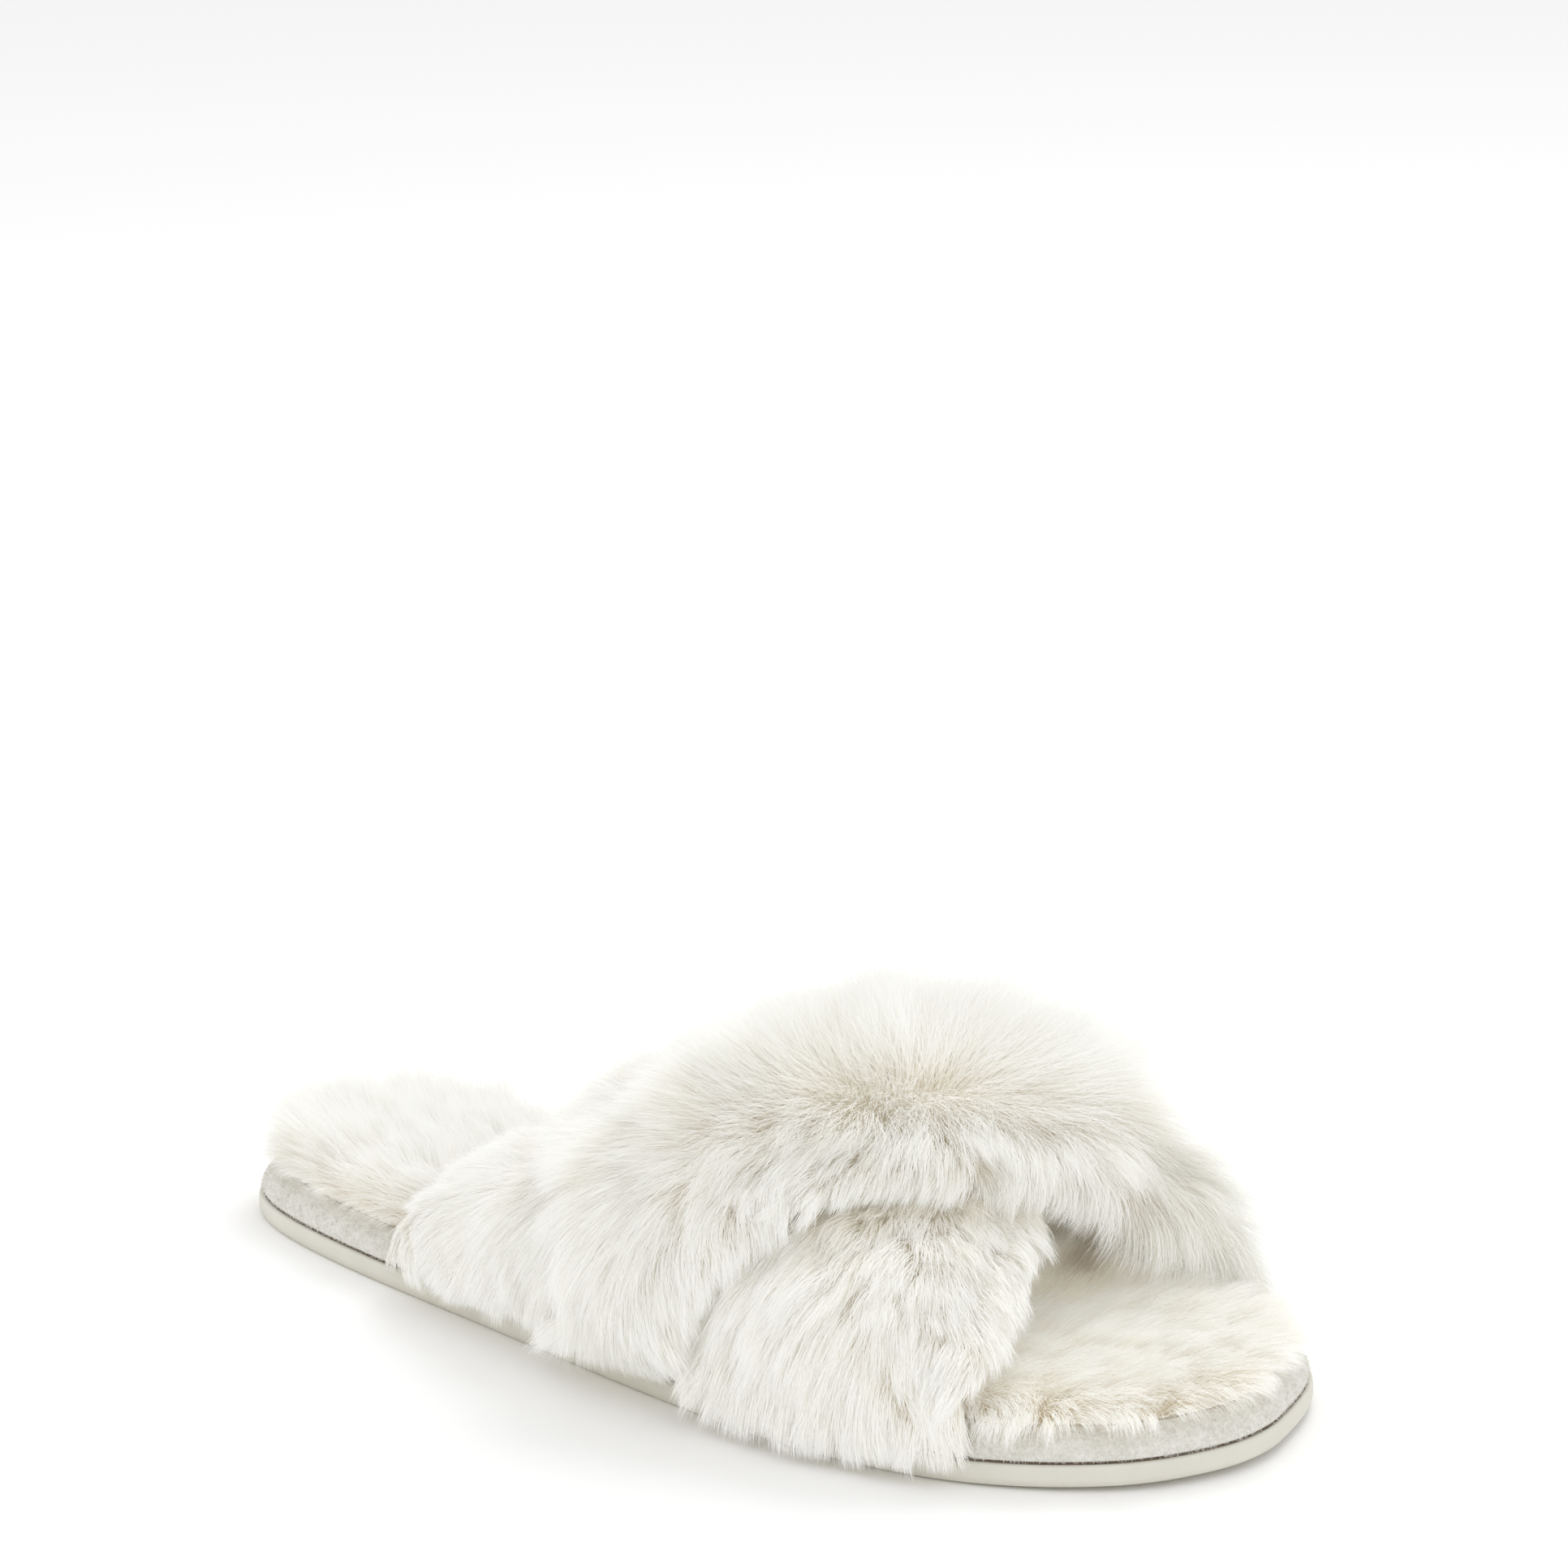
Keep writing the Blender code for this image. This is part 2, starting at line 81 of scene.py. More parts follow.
CREST_X = MM * np.array([-70, -40, -20, 0, 20, 40, 60, 80, 100])
CREST_Z = MM * np.array([25.2, 32.2, 37.2, 41.7, 45.2, 44.2, 37.7, 30.2, 24.2])
ARCH_FOOT = 7.7 * MM
ARCH_FULLNESS = 0.6
CREST_SHIFT = 8 * MM
LINING = 0.9 * MM
TUCKED = 0.5 * MM
THREAD = 0.35 * MM
INTERLINING_EDGE = 0.8 * MM
INTERLINING_CROWN = 2.2 * MM
KNIT = 0.8 * MM
PRESSED_PILE = 1.5 * MM
PRESSED_MARGIN = 10 * MM
PRESSED_RAMP = 10 * MM
CROSSING_GAP = 1.3 * MM
CLIMB_MARGIN = 6 * MM
CLIMB = 20 * MM
CLIMB_END = 0.045
ACROSS = np.array([-1, -0.85, -0.6, -0.3, 0, 0.3, 0.6, 0.85, 1])
OVER_PILE = MM * np.array([2.5, 5, 7, 9.5, 13, 16, 17, 14.5, 6])
UNDER_PILE = MM * np.array([2.5, 7, 8.5, 9.5, 10, 11, 11.5, 10, 4])
SIDE_PILE = (0.5, 0.75)
TUCK_LINES = np.array([-0.12, -0.065, -0.012, -0.004])
GROOVE_WIDTH = 2.2 * MM
GROOVE_DEPTH = 1.2 * MM
GROOVE_EDGE = 9 * MM
GROOVE_RUNS = ((-108, -52, 8), (20, 92, 8))
PAD_SIDE = 0.85  # v at which a band's interlining ends
PAD_END = 0.045  # s at which it ends, and over what s its end thins out
PAD_RAMP = 0.1
SEAM = 0.925  # v of the seams along a band's edges
TUCK_AT = np.append(TUCK_LINES, 0)
TUCK_INSET = [LASTING_INSET, 8 * MM, BAND_INSET + 0.8 * MM, BAND_INSET + 0.1 * MM, BAND_INSET]
TUCK_FOOT = [LASTING_TOP, LASTING_TOP, LASTING_TOP, LASTING_TOP + GAP, ARCH_FOOT]
KNIT_TURN_AT = (-0.012, -0.004, 0, 0.02)
KNIT_TURN_UP = (0, 0.3, 0.8, 1)
MERGE_START = 0.12  # s from which the bands' fur stops merging, and its ramp
MERGE_RAMP = 0.14

SPAN_STEPS = 40
EDGE_POINTS = 260
FINE_POINTS = 1600
CORNER_CUT = 0.25
THREAD_SIDES = 6
ROUND_END = 0.08  # how round the ends of a thread are
ROUND_SWELL = 1.6


# ---- the sole's outline

def run_length(path):
    """How far along a path each of its points is."""
    return np.concatenate([[0], np.cumsum(np.linalg.norm(np.diff(path, axis=0), axis=1))])


def closed_curve(points, steps):
    """Smooth closed curve through points, sampled at equal lengths; also its outward normals."""
    ahead, behind = np.roll(points, -1, axis=0), np.roll(points, 1, axis=0)
    chord = np.linalg.norm(ahead - points, axis=1)
    slope = (ahead - behind) / (chord + np.roll(chord, 1))[:, None]
    t = np.linspace(0, 1, SPAN_STEPS, endpoint=False)[:, None]
    fine = []
    for i in range(len(points)):
        j = (i + 1) % len(points)
        a, b = chord[i] * slope[i], chord[i] * slope[j]
        fine.append((2 * t**3 - 3 * t**2 + 1) * points[i] + (t**3 - 2 * t**2 + t) * a
                    + (3 * t**2 - 2 * t**3) * points[j] + (t**3 - t**2) * b)
    fine = np.vstack(fine + [points[:1]])
    length = run_length(fine)
    at = np.linspace(0, length[-1], steps, endpoint=False)
    curve = np.column_stack([np.interp(at, length, fine[:, k]) for k in (0, 1)])
    tangent = np.roll(curve, -2, axis=0) - np.roll(curve, 2, axis=0)
    normal = np.column_stack([tangent[:, 1], -tangent[:, 0]])
    return curve, normal / np.linalg.norm(normal, axis=1)[:, None]


EDGE, EDGE_NORMAL = closed_curve(OUTLINE, EDGE_POINTS)
FINE_EDGE = closed_curve(OUTLINE, FINE_POINTS)[0]


def half_width(x, side):
    """How far the sole reaches sideways at x, on its outer (-1) or inner (1) side."""
    half = FINE_EDGE[FINE_EDGE[:, 1] * side > 0]
    half = half[np.argsort(half[:, 0])]
    return np.interp(x, half[:, 0], half[:, 1] * side)


def smoothstep(x):
    x = np.clip(x, 0, 1)
    return x * x * (3 - 2 * x)


def soft_interp(x, at, values):
    """Interpolation through values with a continuous slope."""
    slope = np.gradient(values, at)
    x = np.clip(x, at[0], at[-1])
    i = np.clip(np.searchsorted(at, x, side="right") - 1, 0, len(at) - 2)
    width = at[i + 1] - at[i]
    t = (x - at[i]) / width
    return ((2 * t**3 - 3 * t**2 + 1) * values[i] + (t**3 - 2 * t**2 + t) * width * slope[i]
            + (3 * t**2 - 2 * t**3) * values[i + 1] + (t**3 - t**2) * width * slope[i + 1])


def held(x):
    """1 along the bands, where the footbed's edge is held in, and 0 beyond them."""
    a, b, c, d = HELD_ZONE
    return smoothstep((x - a) / (b - a)) * (1 - smoothstep((x - c) / (d - c)))


def blend(open_value, held_value):
    return open_value + (held_value - open_value) * held(EDGE[:, 0])


def ring(inset, z):
    flat = EDGE - EDGE_NORMAL * np.broadcast_to(inset, len(EDGE))[:, None]
    return np.column_stack([flat, np.broadcast_to(z, len(EDGE))])


def toe_curl(x):
    reach = EDGE[:, 0].max() - SPRING_START
    return TOE_SPRING * (np.clip(x - SPRING_START, 0, None) / reach) ** 2


# ---- the bands' surfaces

def arch_point(x, s):
    """The point of the bands' base surface at x and s."""
    x, s = np.broadcast_arrays(x, s)
    beyond = np.minimum(s, 1 - s)
    across = np.clip(s, 0, 1)
    inset = np.interp(beyond, TUCK_AT, TUCK_INSET)
    foot = np.interp(beyond, TUCK_AT, TUCK_FOOT)
    outer, inner = half_width(x, -1) - inset, half_width(x, 1) - inset
    rise = np.sin(np.pi * across)
    crest = soft_interp(x, CREST_X, CREST_Z) - ARCH_FOOT
    y = (inner - outer) / 2 - (inner + outer) / 2 * np.cos(np.pi * across)
    return np.stack([x, y + CREST_SHIFT * rise**2,
                     foot + crest * rise**ARCH_FULLNESS + toe_curl(x)], axis=-1)


def unit(vectors):
    return vectors / np.maximum(np.linalg.norm(vectors, axis=-1), 1e-12)[..., None]


def arch_normal(x, s):
    dx, ds = 4 * MM, 0.003
    along = arch_point(x + dx, s) - arch_point(x - dx, s)
    over = arch_point(x, s + ds) - arch_point(x, s - ds)
    return unit(np.cross(along, over))


def band_edges(band, s):
    """Middle and half width of a band along the shoe, at s."""
    back, front = (np.polyval(np.polyfit(STATIONS, edge, len(STATIONS) - 1),
                              np.clip(s, 0, 1)) for edge in band)
    return (back + front) / 2, (front - back) / 2


def beyond_band(band, x, s):
    """How far x lies outside a band at s; negative inside it."""
    centre, half = band_edges(band, s)
    return np.abs(x - centre) - half


def interlining(v, s):
    crown = 1 - np.clip(np.abs(v) / PAD_SIDE, 0, 1) ** 4
    end = smoothstep((np.minimum(s, 1 - s) - PAD_END) / PAD_RAMP)
    return INTERLINING_EDGE + INTERLINING_CROWN * crown * end


def knit_offset(v, s):
    body = LINING + interlining(v, s) + 2 * GAP
    turned = TUCKED + GAP
    up = np.interp(np.minimum(s, 1 - s), KNIT_TURN_AT, KNIT_TURN_UP)
    return turned + (body - turned) * up


def low_down(s):
    """0 low on the outer side, where the bands' fur merges, and 1 above it."""
    return smoothstep((s - MERGE_START) / MERGE_RAMP)


def pile_height(over, v, s, x):
    """Height of a band's fur; the over band presses the under band's flat."""
    side = np.where(s < 0.5, *SIDE_PILE)
    share = side + (1 - side) * np.sin(np.pi * np.clip(s, 0, 1))
    full = soft_interp(v, ACROSS, OVER_PILE if over else UNDER_PILE) * share
    if over:
        return full
    free = smoothstep((beyond_band(OVER, x, s) - PRESSED_MARGIN * low_down(s)) / PRESSED_RAMP)
    return PRESSED_PILE + (full - PRESSED_PILE) * free


def lift(x, s):
    """How far the over band is raised to climb over the under band."""
    centre, half = band_edges(UNDER, s)
    inside = np.clip((x - centre) / half, -1, 1)
    height = knit_offset(inside, s) + KNIT + GAP + PRESSED_PILE + CROSSING_GAP
    climbed = 1 - smoothstep((beyond_band(UNDER, x, s) - CLIMB_MARGIN) / CLIMB)
    return height * climbed * smoothstep(np.minimum(s, 1 - s) / CLIMB_END)


def band_point(over, s, v, height):
    """Points at a height above a band's base, at s along and v across it."""
    centre, half = band_edges(OVER if over else UNDER, s)
    x = centre + v * half
    raised = height + (lift(x, s) if over else 0)
    return arch_point(x, s) + arch_normal(x, s) * raised[..., None]


# ---- mesh builders

def placed(name, data):
    """A new object in the scene."""
    item = bpy.data.objects.new(name, data)
    scene.collection.objects.link(item)
    return item


def new_object(name, mesh, finish, sharp=None):
    mesh.materials.append(finish)
    mesh.shade_smooth()
    if sharp:
        mesh.set_sharp_from_angle(angle=sharp)
    item = placed(name, mesh)
    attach(item, "root")
    return item


def add_mesh(name, points, faces, finish, sharp=None):
    mesh = bpy.data.meshes.new(name)
    mesh.from_pydata(np.asarray(points).tolist(), [], faces)
    shape = bmesh.new()
    shape.from_mesh(mesh)
    bmesh.ops.recalc_face_normals(shape, faces=shape.faces)
    if shape.calc_volume(signed=True) < 0:
        bmesh.ops.reverse_faces(shape, faces=shape.faces)
    shape.to_mesh(mesh)
    shape.free()
    return new_object(name, mesh, finish, sharp)


def curled(points):
    points = np.array(points)
    points[..., 2] += toe_curl(points[..., 0])
    return points


def cap(first, count):
    """Faces that close a ring of count points."""
    faces = [(first, first + 1, first + count - 1)]
    for i in range(1, (count - 1) // 2):
        faces.append((first + i, first + i + 1, first + count - i - 1, first + count - i))
    if count % 2 == 0:
        middle = first + count // 2
        faces.append((middle - 1, middle, middle + 1))
    return faces


def loft(name, rings, finish, closed=False, sharp=None):
    """A solid through rings of points; closed joins the last ring to the first."""
    count = len(rings[0])
    faces = []
    for k in range(len(rings) - (0 if closed else 1)):
        low, high = k * count, (k + 1) % len(rings) * count
        faces += [(low + i, low + (i + 1) % count, high + (i + 1) % count, high + i)
                  for i in range(count)]
    if not closed:
        faces += cap(0, count) + cap((len(rings) - 1) * count, count)
    return add_mesh(name, curled(np.vstack(rings)), faces, finish, sharp)


def rounded(profile, closed, steps=3):
    """A profile of (inset, z) pairs with its corners smoothed by repeated corner cutting."""
    line = [np.stack(np.broadcast_arrays(*p), axis=-1) for p in profile]
    for _ in range(steps):
        pairs = list(zip(line, line[1:] + (line[:1] if closed else [])))
        cut = [q for a, b in (pairs if closed else pairs)
               for q in ((1 - CORNER_CUT) * a + CORNER_CUT * b,
                         CORNER_CUT * a + (1 - CORNER_CUT) * b)]
        line = cut if closed else [line[0]] + cut[1:-1] + [line[-1]]
    return [(p[..., 0], p[..., 1]) for p in line]


def slab(name, inner, outer, finish):
    """A closed sheet between two grids of points."""
    rows, columns = inner.shape[:2]
    size = rows * columns
    index = np.arange(size).reshape(rows, columns)
    a, b, c, d = index[:-1, :-1], index[:-1, 1:], index[1:, 1:], index[1:, :-1]
    faces = np.stack([a, b, c, d], -1).reshape(-1, 4)
    faces = np.vstack([faces, faces[:, ::-1] + size])
    border = np.concatenate([index[0, :], index[1:, -1], index[-1, -2::-1], index[-2:0:-1, 0]])
    after = np.roll(border, -1)
    faces = np.vstack([faces, np.stack([border, after, after + size, border + size], -1)])
    points = np.vstack([inner.reshape(-1, 3), outer.reshape(-1, 3)])
    return add_mesh(name, points, faces.tolist(), finish)


def tubes(name, paths, radius, finish):
    """One mesh of round threads, with rounded ends, along paths of shape (threads, points, 3)."""
    count, steps = paths.shape[:2]
    tangent = unit(np.gradient(paths, axis=1))
    side = unit(np.cross(tangent, (0.3, 0.2, 1)))
    up = np.cross(side, tangent)
    turns = np.linspace(0, 2 * np.pi, THREAD_SIDES, endpoint=False)
    bulge = np.sin(np.pi * np.linspace(ROUND_END, 1 - ROUND_END, steps))
    swell = radius * np.clip(bulge * ROUND_SWELL, 0, 1)
    rings = (paths[:, :, None] + swell[None, :, None, None]
             * (np.cos(turns)[:, None] * side[:, :, None] + np.sin(turns)[:, None] * up[:, :, None]))
    index = np.arange(count * steps * THREAD_SIDES).reshape(count, steps, THREAD_SIDES)
    beside = np.roll(index, -1, axis=2)
    quads = np.stack([index[:, :-1], beside[:, :-1], beside[:, 1:], index[:, 1:]], -1)
    ends = np.vstack([index[:, 0, ::-1], index[:, -1]])
    return add_mesh(name, rings.reshape(-1, 3), quads.reshape(-1, 4).tolist() + ends.tolist(),
                    finish)


# ---- materials

def preset(made, values):
    """Set a node's inputs by name."""
    for key, value in values.items():
        made.inputs[key].default_value = value


def new_material(name, roughness, sheen=0.0, sheen_roughness=0.5):
    material = bpy.data.materials.new(name)
    material.use_nodes = True
    shader = material.node_tree.nodes["Principled BSDF"]
    preset(shader, {"Roughness": roughness, "Sheen Weight": sheen,
                    "Sheen Roughness": sheen_roughness})
    return material, material.node_tree, shader


MIX_FACTOR, MIX_A, MIX_B, MIX_RESULT = 0, 6, 7, 2  # colour sockets of a Mix node
RUBBER_STOPS = [(0.3, (0.655, 0.640, 0.560)), (0.72, (0.725, 0.710, 0.635))]
# Painted shade low on the sole's wall, near the floor, and how high it reaches.
RUBBER_FLOOR_SHADE = (0.50, 0.47, 0.39)
FLOOR_SHADE_TOP = 2.4 * MM
LOOP_SHADE = [(0.1, (1, 1, 1)), (0.8, (0.86, 0.85, 0.82))]
LOOP_DEPTH = 0.25 * MM
INNER_LIGHT = (1.0, 0.985, 0.94, 1)


def node(tree, kind, inputs=None, **settings):
    made = tree.nodes.new(kind)
    for key, value in settings.items():
        setattr(made, key, value)
    preset(made, inputs or {})
    return made


def ramp(tree, source, stops):
    made = node(tree, "ShaderNodeValToRGB")
    elements = made.color_ramp.elements
    while len(elements) < len(stops):
        elements.new(0.5)
    for element, (position, colour) in zip(elements, stops):
        element.position = position
        element.color = (*colour, 1)
    tree.links.new(source, made.inputs["Fac"])
    return made.outputs["Color"]


def mixed(tree, kind, factor, a, b):
    made = node(tree, "ShaderNodeMix", data_type="RGBA", blend_type=kind)
    for at, value in ((MIX_FACTOR, factor), (MIX_A, a), (MIX_B, b)):
        socket = made.inputs[at]
        if hasattr(value, "links"):
            tree.links.new(value, socket)
        elif isinstance(value, tuple):
            socket.default_value = (*value, 1)
        else:
            socket.default_value = value
    return made.outputs[MIX_RESULT]


def noise(tree, scale, detail, roughness=0.5):
    place = node(tree, "ShaderNodeTexCoord").outputs["Object"]
    made = node(tree, "ShaderNodeTexNoise",
                {"Scale": scale, "Detail": detail, "Roughness": roughness})
    tree.links.new(place, made.inputs["Vector"])
    return made.outputs["Fac"]


def paint(shader, colour):
    shader.id_data.links.new(colour, shader.inputs["Base Color"])


def bump(tree, shader, height, distance, strength):
    made = node(tree, "ShaderNodeBump", {"Strength": strength, "Distance": distance})
    tree.links.new(height, made.inputs["Height"])
    tree.links.new(made.outputs["Normal"], shader.inputs["Normal"])


def cloth_material(name, dark, light, loop):
    """Knitted or felted cloth: loops of a given size, with soft variation in colour."""
    material, tree, shader = new_material(name, roughness=0.9, sheen=0.3)
    place = node(tree, "ShaderNodeTexCoord").outputs["Object"]
    loops = node(tree, "ShaderNodeTexVoronoi", {"Scale": 1 / loop, "Randomness": 0.75})
    tree.links.new(place, loops.inputs["Vector"])
    patches = noise(tree, scale=260, detail=5, roughness=0.65)
    colour = ramp(tree, patches, [(0.3, dark), (0.7, light)])
    colour = mixed(tree, "MULTIPLY", 0.7, colour, ramp(tree, loops.outputs["Distance"], LOOP_SHADE))
    paint(shader, colour)
    bump(tree, shader, loops.outputs["Distance"], LOOP_DEPTH, strength=0.6)
    return material


def rubber_material():
    """Matte moulded rubber with a fine mould grain, darker low on the wall as painted shade."""
    material, tree, shader = new_material("ivory_rubber", roughness=0.5)
    preset(shader, {"Specular IOR Level": 0.35})
    colour = ramp(tree, noise(tree, scale=45, detail=4, roughness=0.6), RUBBER_STOPS)
    height = node(tree, "ShaderNodeSeparateXYZ")
    tree.links.new(node(tree, "ShaderNodeTexCoord").outputs["Object"], height.inputs[0])
    # Painted shade: the wall darkens towards the floor.
    low = node(tree, "ShaderNodeMapRange",
               {"From Min": 0.0, "From Max": FLOOR_SHADE_TOP, "To Min": 0.45, "To Max": 0.0})
    tree.links.new(height.outputs["Z"], low.inputs["Value"])
    colour = mixed(tree, "MIX", low.outputs["Result"], colour, RUBBER_FLOOR_SHADE)
    paint(shader, colour)
    rough = node(tree, "ShaderNodeMapRange", {"To Min": 0.42, "To Max": 0.62})
    tree.links.new(noise(tree, scale=300, detail=3), rough.inputs["Value"])
    tree.links.new(rough.outputs["Result"], shader.inputs["Roughness"])
    grain = noise(tree, scale=2600, detail=3, roughness=0.6)
    bump(tree, shader, grain, 0.05 * MM, strength=0.35)
    return material


def fur_material(name, root, glow):
    """Fibre colour from root to tip, a different tone per tuft; the lowest are tan painted shade."""
    material, tree, shader = new_material(name, roughness=0.7, sheen=0.25, sheen_roughness=0.4)
    along = node(tree, "ShaderNodeAttribute", attribute_name="along").outputs["Fac"]
    tone = node(tree, "ShaderNodeAttribute", attribute_name="tone").outputs["Fac"]
    colour = ramp(tree, along, [(0.0, root), (0.16, root), (0.42, SHAFT), (1.0, TIP)])
    tint = ramp(tree, tone, [(0.0, SHADE_TAN), (WARM_TONE, WARM), (0.5, (1, 1, 1)), (1.0, (1, 1, 1))])
    colour = mixed(tree, "MULTIPLY", 1.0, colour, tint)
    paint(shader, colour)
    # A little light of its own stands for what white fibres pass on to each other inside the pile.
    preset(shader, {"Emission Color": INNER_LIGHT, "Emission Strength": glow})
    return material


def plain_material(name, dark, light, scale, roughness, sheen=0.0):
    material, tree, shader = new_material(name, roughness, sheen)
    grain = noise(tree, scale, detail=5, roughness=0.6)
    paint(shader, ramp(tree, grain, [(0.3, dark), (0.7, light)]))
    bump(tree, shader, grain, 0.2 * MM, strength=0.5)
    return material


WARM_TONE = 0.12  # the lowest tone of unshaded fur; below it fur turns tan as painted shade
SHADE_TAN = (0.66, 0.56, 0.45)
ROOT = (0.90, 0.86, 0.77)
BED_ROOT = (0.92, 0.88, 0.80)
SHAFT = (0.950, 0.941, 0.908)
TIP = (0.950, 0.953, 0.940)
WARM = (0.985, 0.97, 0.93)
RUBBER = rubber_material()
WRAP_KNIT = cloth_material("short_nap_knit", (0.77, 0.755, 0.70), (0.87, 0.86, 0.825), 0.7 * MM)
GROUND_KNIT = cloth_material("fur_ground_knit", (0.80, 0.73, 0.60), (0.88, 0.84, 0.74), 0.8 * MM)
BED_KNIT = cloth_material("footbed_ground_knit", (0.66, 0.57, 0.42), (0.80, 0.74, 0.61), 0.8 * MM)
FLEECE = cloth_material("lining_fleece", (0.76, 0.74, 0.68), (0.85, 0.84, 0.80), 0.9 * MM)
FUR = fur_material("white_fur", ROOT, 0.036)
HEEL_FUR = fur_material("heel_fur", BED_ROOT, 0.036)
# The toe fur glows more: painted light that lifts the shade the over band casts on it.
TOE_FUR = fur_material("toe_fur", BED_ROOT, 0.060)
THREADS = plain_material("sewing_thread", (0.74, 0.72, 0.66), (0.84, 0.83, 0.79), 4000, 0.7, 0.2)
# Dark joint strip: the sole's cement, and painted shade in the gap.
CEMENT_AND_SHADE = plain_material("sole_cement_and_shade", (0.09, 0.060, 0.034), (0.17, 0.12, 0.075), 300, 0.6)
FOAM = plain_material("cream_foam", (0.72, 0.69, 0.60), (0.82, 0.80, 0.73), 900, 0.9)
BOARD = plain_material("tan_fibreboard", (0.60, 0.53, 0.42), (0.72, 0.65, 0.54), 500, 0.85)
FELT = plain_material("cream_felt", (0.68, 0.64, 0.55), (0.79, 0.76, 0.69), 1200, 0.95, 0.3)
FILLER = plain_material("white_filler_foam", (0.74, 0.74, 0.70), (0.86, 0.86, 0.82), 700, 0.9)


# ---- fur

STEPS = 6  # points along a strand
CURL = 1.3  # how late along a strand it leans over
LOCK = 5 * MM  # how far apart locks and tufts start
TUFT = 1.4 * MM
DROOP = 0.2  # how far tips hang
LOCK_STAND, OWN_STAND = 0.05, 0.08  # spread of a lock's and a strand's own lean, in radians
LOCK_REACH = 0.06  # spread of a lock's length, as a share
WAVE = 0.13  # how far a strand waves sideways
SHORTEST = 0.25  # least share of its length that a strand is cut to
FIRMEST = 0.93  # most that a tuft draws its strands together
ROOT_SHARE = 0.55  # a strand's width at its root, as a share of its widest
FLOOR_GAP = 0.4 * MM
PIECE_STRANDS = 21000  # most strands in one fur piece
EDGE_SHARE = 0.12  # strands on the folded edges, as a share of the rest
GUIDE_REACH = (0.16, 0.45)  # how far a comb guide reaches, in s and in v
GUIDE_CORE = 0.15  # how evenly a guide acts close to its own place
STRAY = 1.1  # how far strands stray where guides disagree, in radians
STRAND_WIDTH = 0.065 * MM
OVER_DENSITY = 1.2e7  # strands per square metre
UNDER_DENSITY = 1.15e7
BED_DENSITY = 1.15e7


def strand_mesh(name, paths, widths, faces, tone, finish):
    """Tapered ribbons: paths (n, k, 3), half widths at the root (n), and which way each faces."""
    count, steps = paths.shape[:2]
    tangent = unit(np.gradient(paths, axis=1))
    side = unit(np.cross(tangent, faces[:, None]))
    t = np.linspace(0, 1, steps)
    taper = (ROOT_SHARE + 0.9 * t * (1 - t) * 2) * (1 - t**3)
    half = widths[:, None] * taper[None]
    left, right = paths - side * half[..., None], paths + side * half[..., None]
    body = np.stack([left[:, :-1], right[:, :-1]], axis=2).reshape(count, -1, 3)
    points = np.concatenate([body, paths[:, -1:]], axis=1)
    per = points.shape[1]
    start = np.arange(count)[:, None] * per
    quads = np.concatenate([start + np.array([2 * k, 2 * k + 1, 2 * k + 3, 2 * k + 2])
                            for k in range(steps - 2)])
    tips = start + np.array([per - 3, per - 2, per - 1])
    mesh = bpy.data.meshes.new(name)
    mesh.vertices.add(count * per)
    mesh.vertices.foreach_set("co", points.astype(np.float32).ravel())
    loops = np.concatenate([quads.ravel(), tips.ravel()]).astype(np.int32)
    mesh.loops.add(len(loops))
    mesh.loops.foreach_set("vertex_index", loops)
    starts = np.concatenate([np.arange(len(quads)) * 4, len(quads) * 4 + np.arange(count) * 3])
    mesh.polygons.add(len(starts))
    mesh.polygons.foreach_set("loop_start", starts.astype(np.int32))
    mesh.update(calc_edges=True)
    for label, values in (("along", np.tile(np.append(np.repeat(t[:-1], 2), 1), count)),
                          ("tone", np.repeat(tone, per))):
        attribute = mesh.attributes.new(label, "FLOAT", "POINT")
        attribute.data.foreach_set("value", values.astype(np.float32))
    return new_object(name, mesh, finish)


def nearest(points, leaders):
    """For each point, the index of the nearest leader."""
    tree = KDTree(len(leaders))
    for i, p in enumerate(leaders):
        tree.insert(p, i)
    tree.balance()
    return np.array([tree.find(p)[1] for p in points])


def turned(vectors, axes, angles):
    """Vectors turned about unit axes, by Rodrigues' formula."""
    c, s = np.cos(angles)[:, None], np.sin(angles)[:, None]
    dot = (vectors * axes).sum(-1, keepdims=True)
    return vectors * c + np.cross(axes, vectors) * s + axes * dot * (1 - c)


def fall_angle(rise, lay, t):
    """A strand's angle off the skin along its length, for arrays of strands."""
    return rise[:, None] + (lay - rise)[:, None] * t**CURL


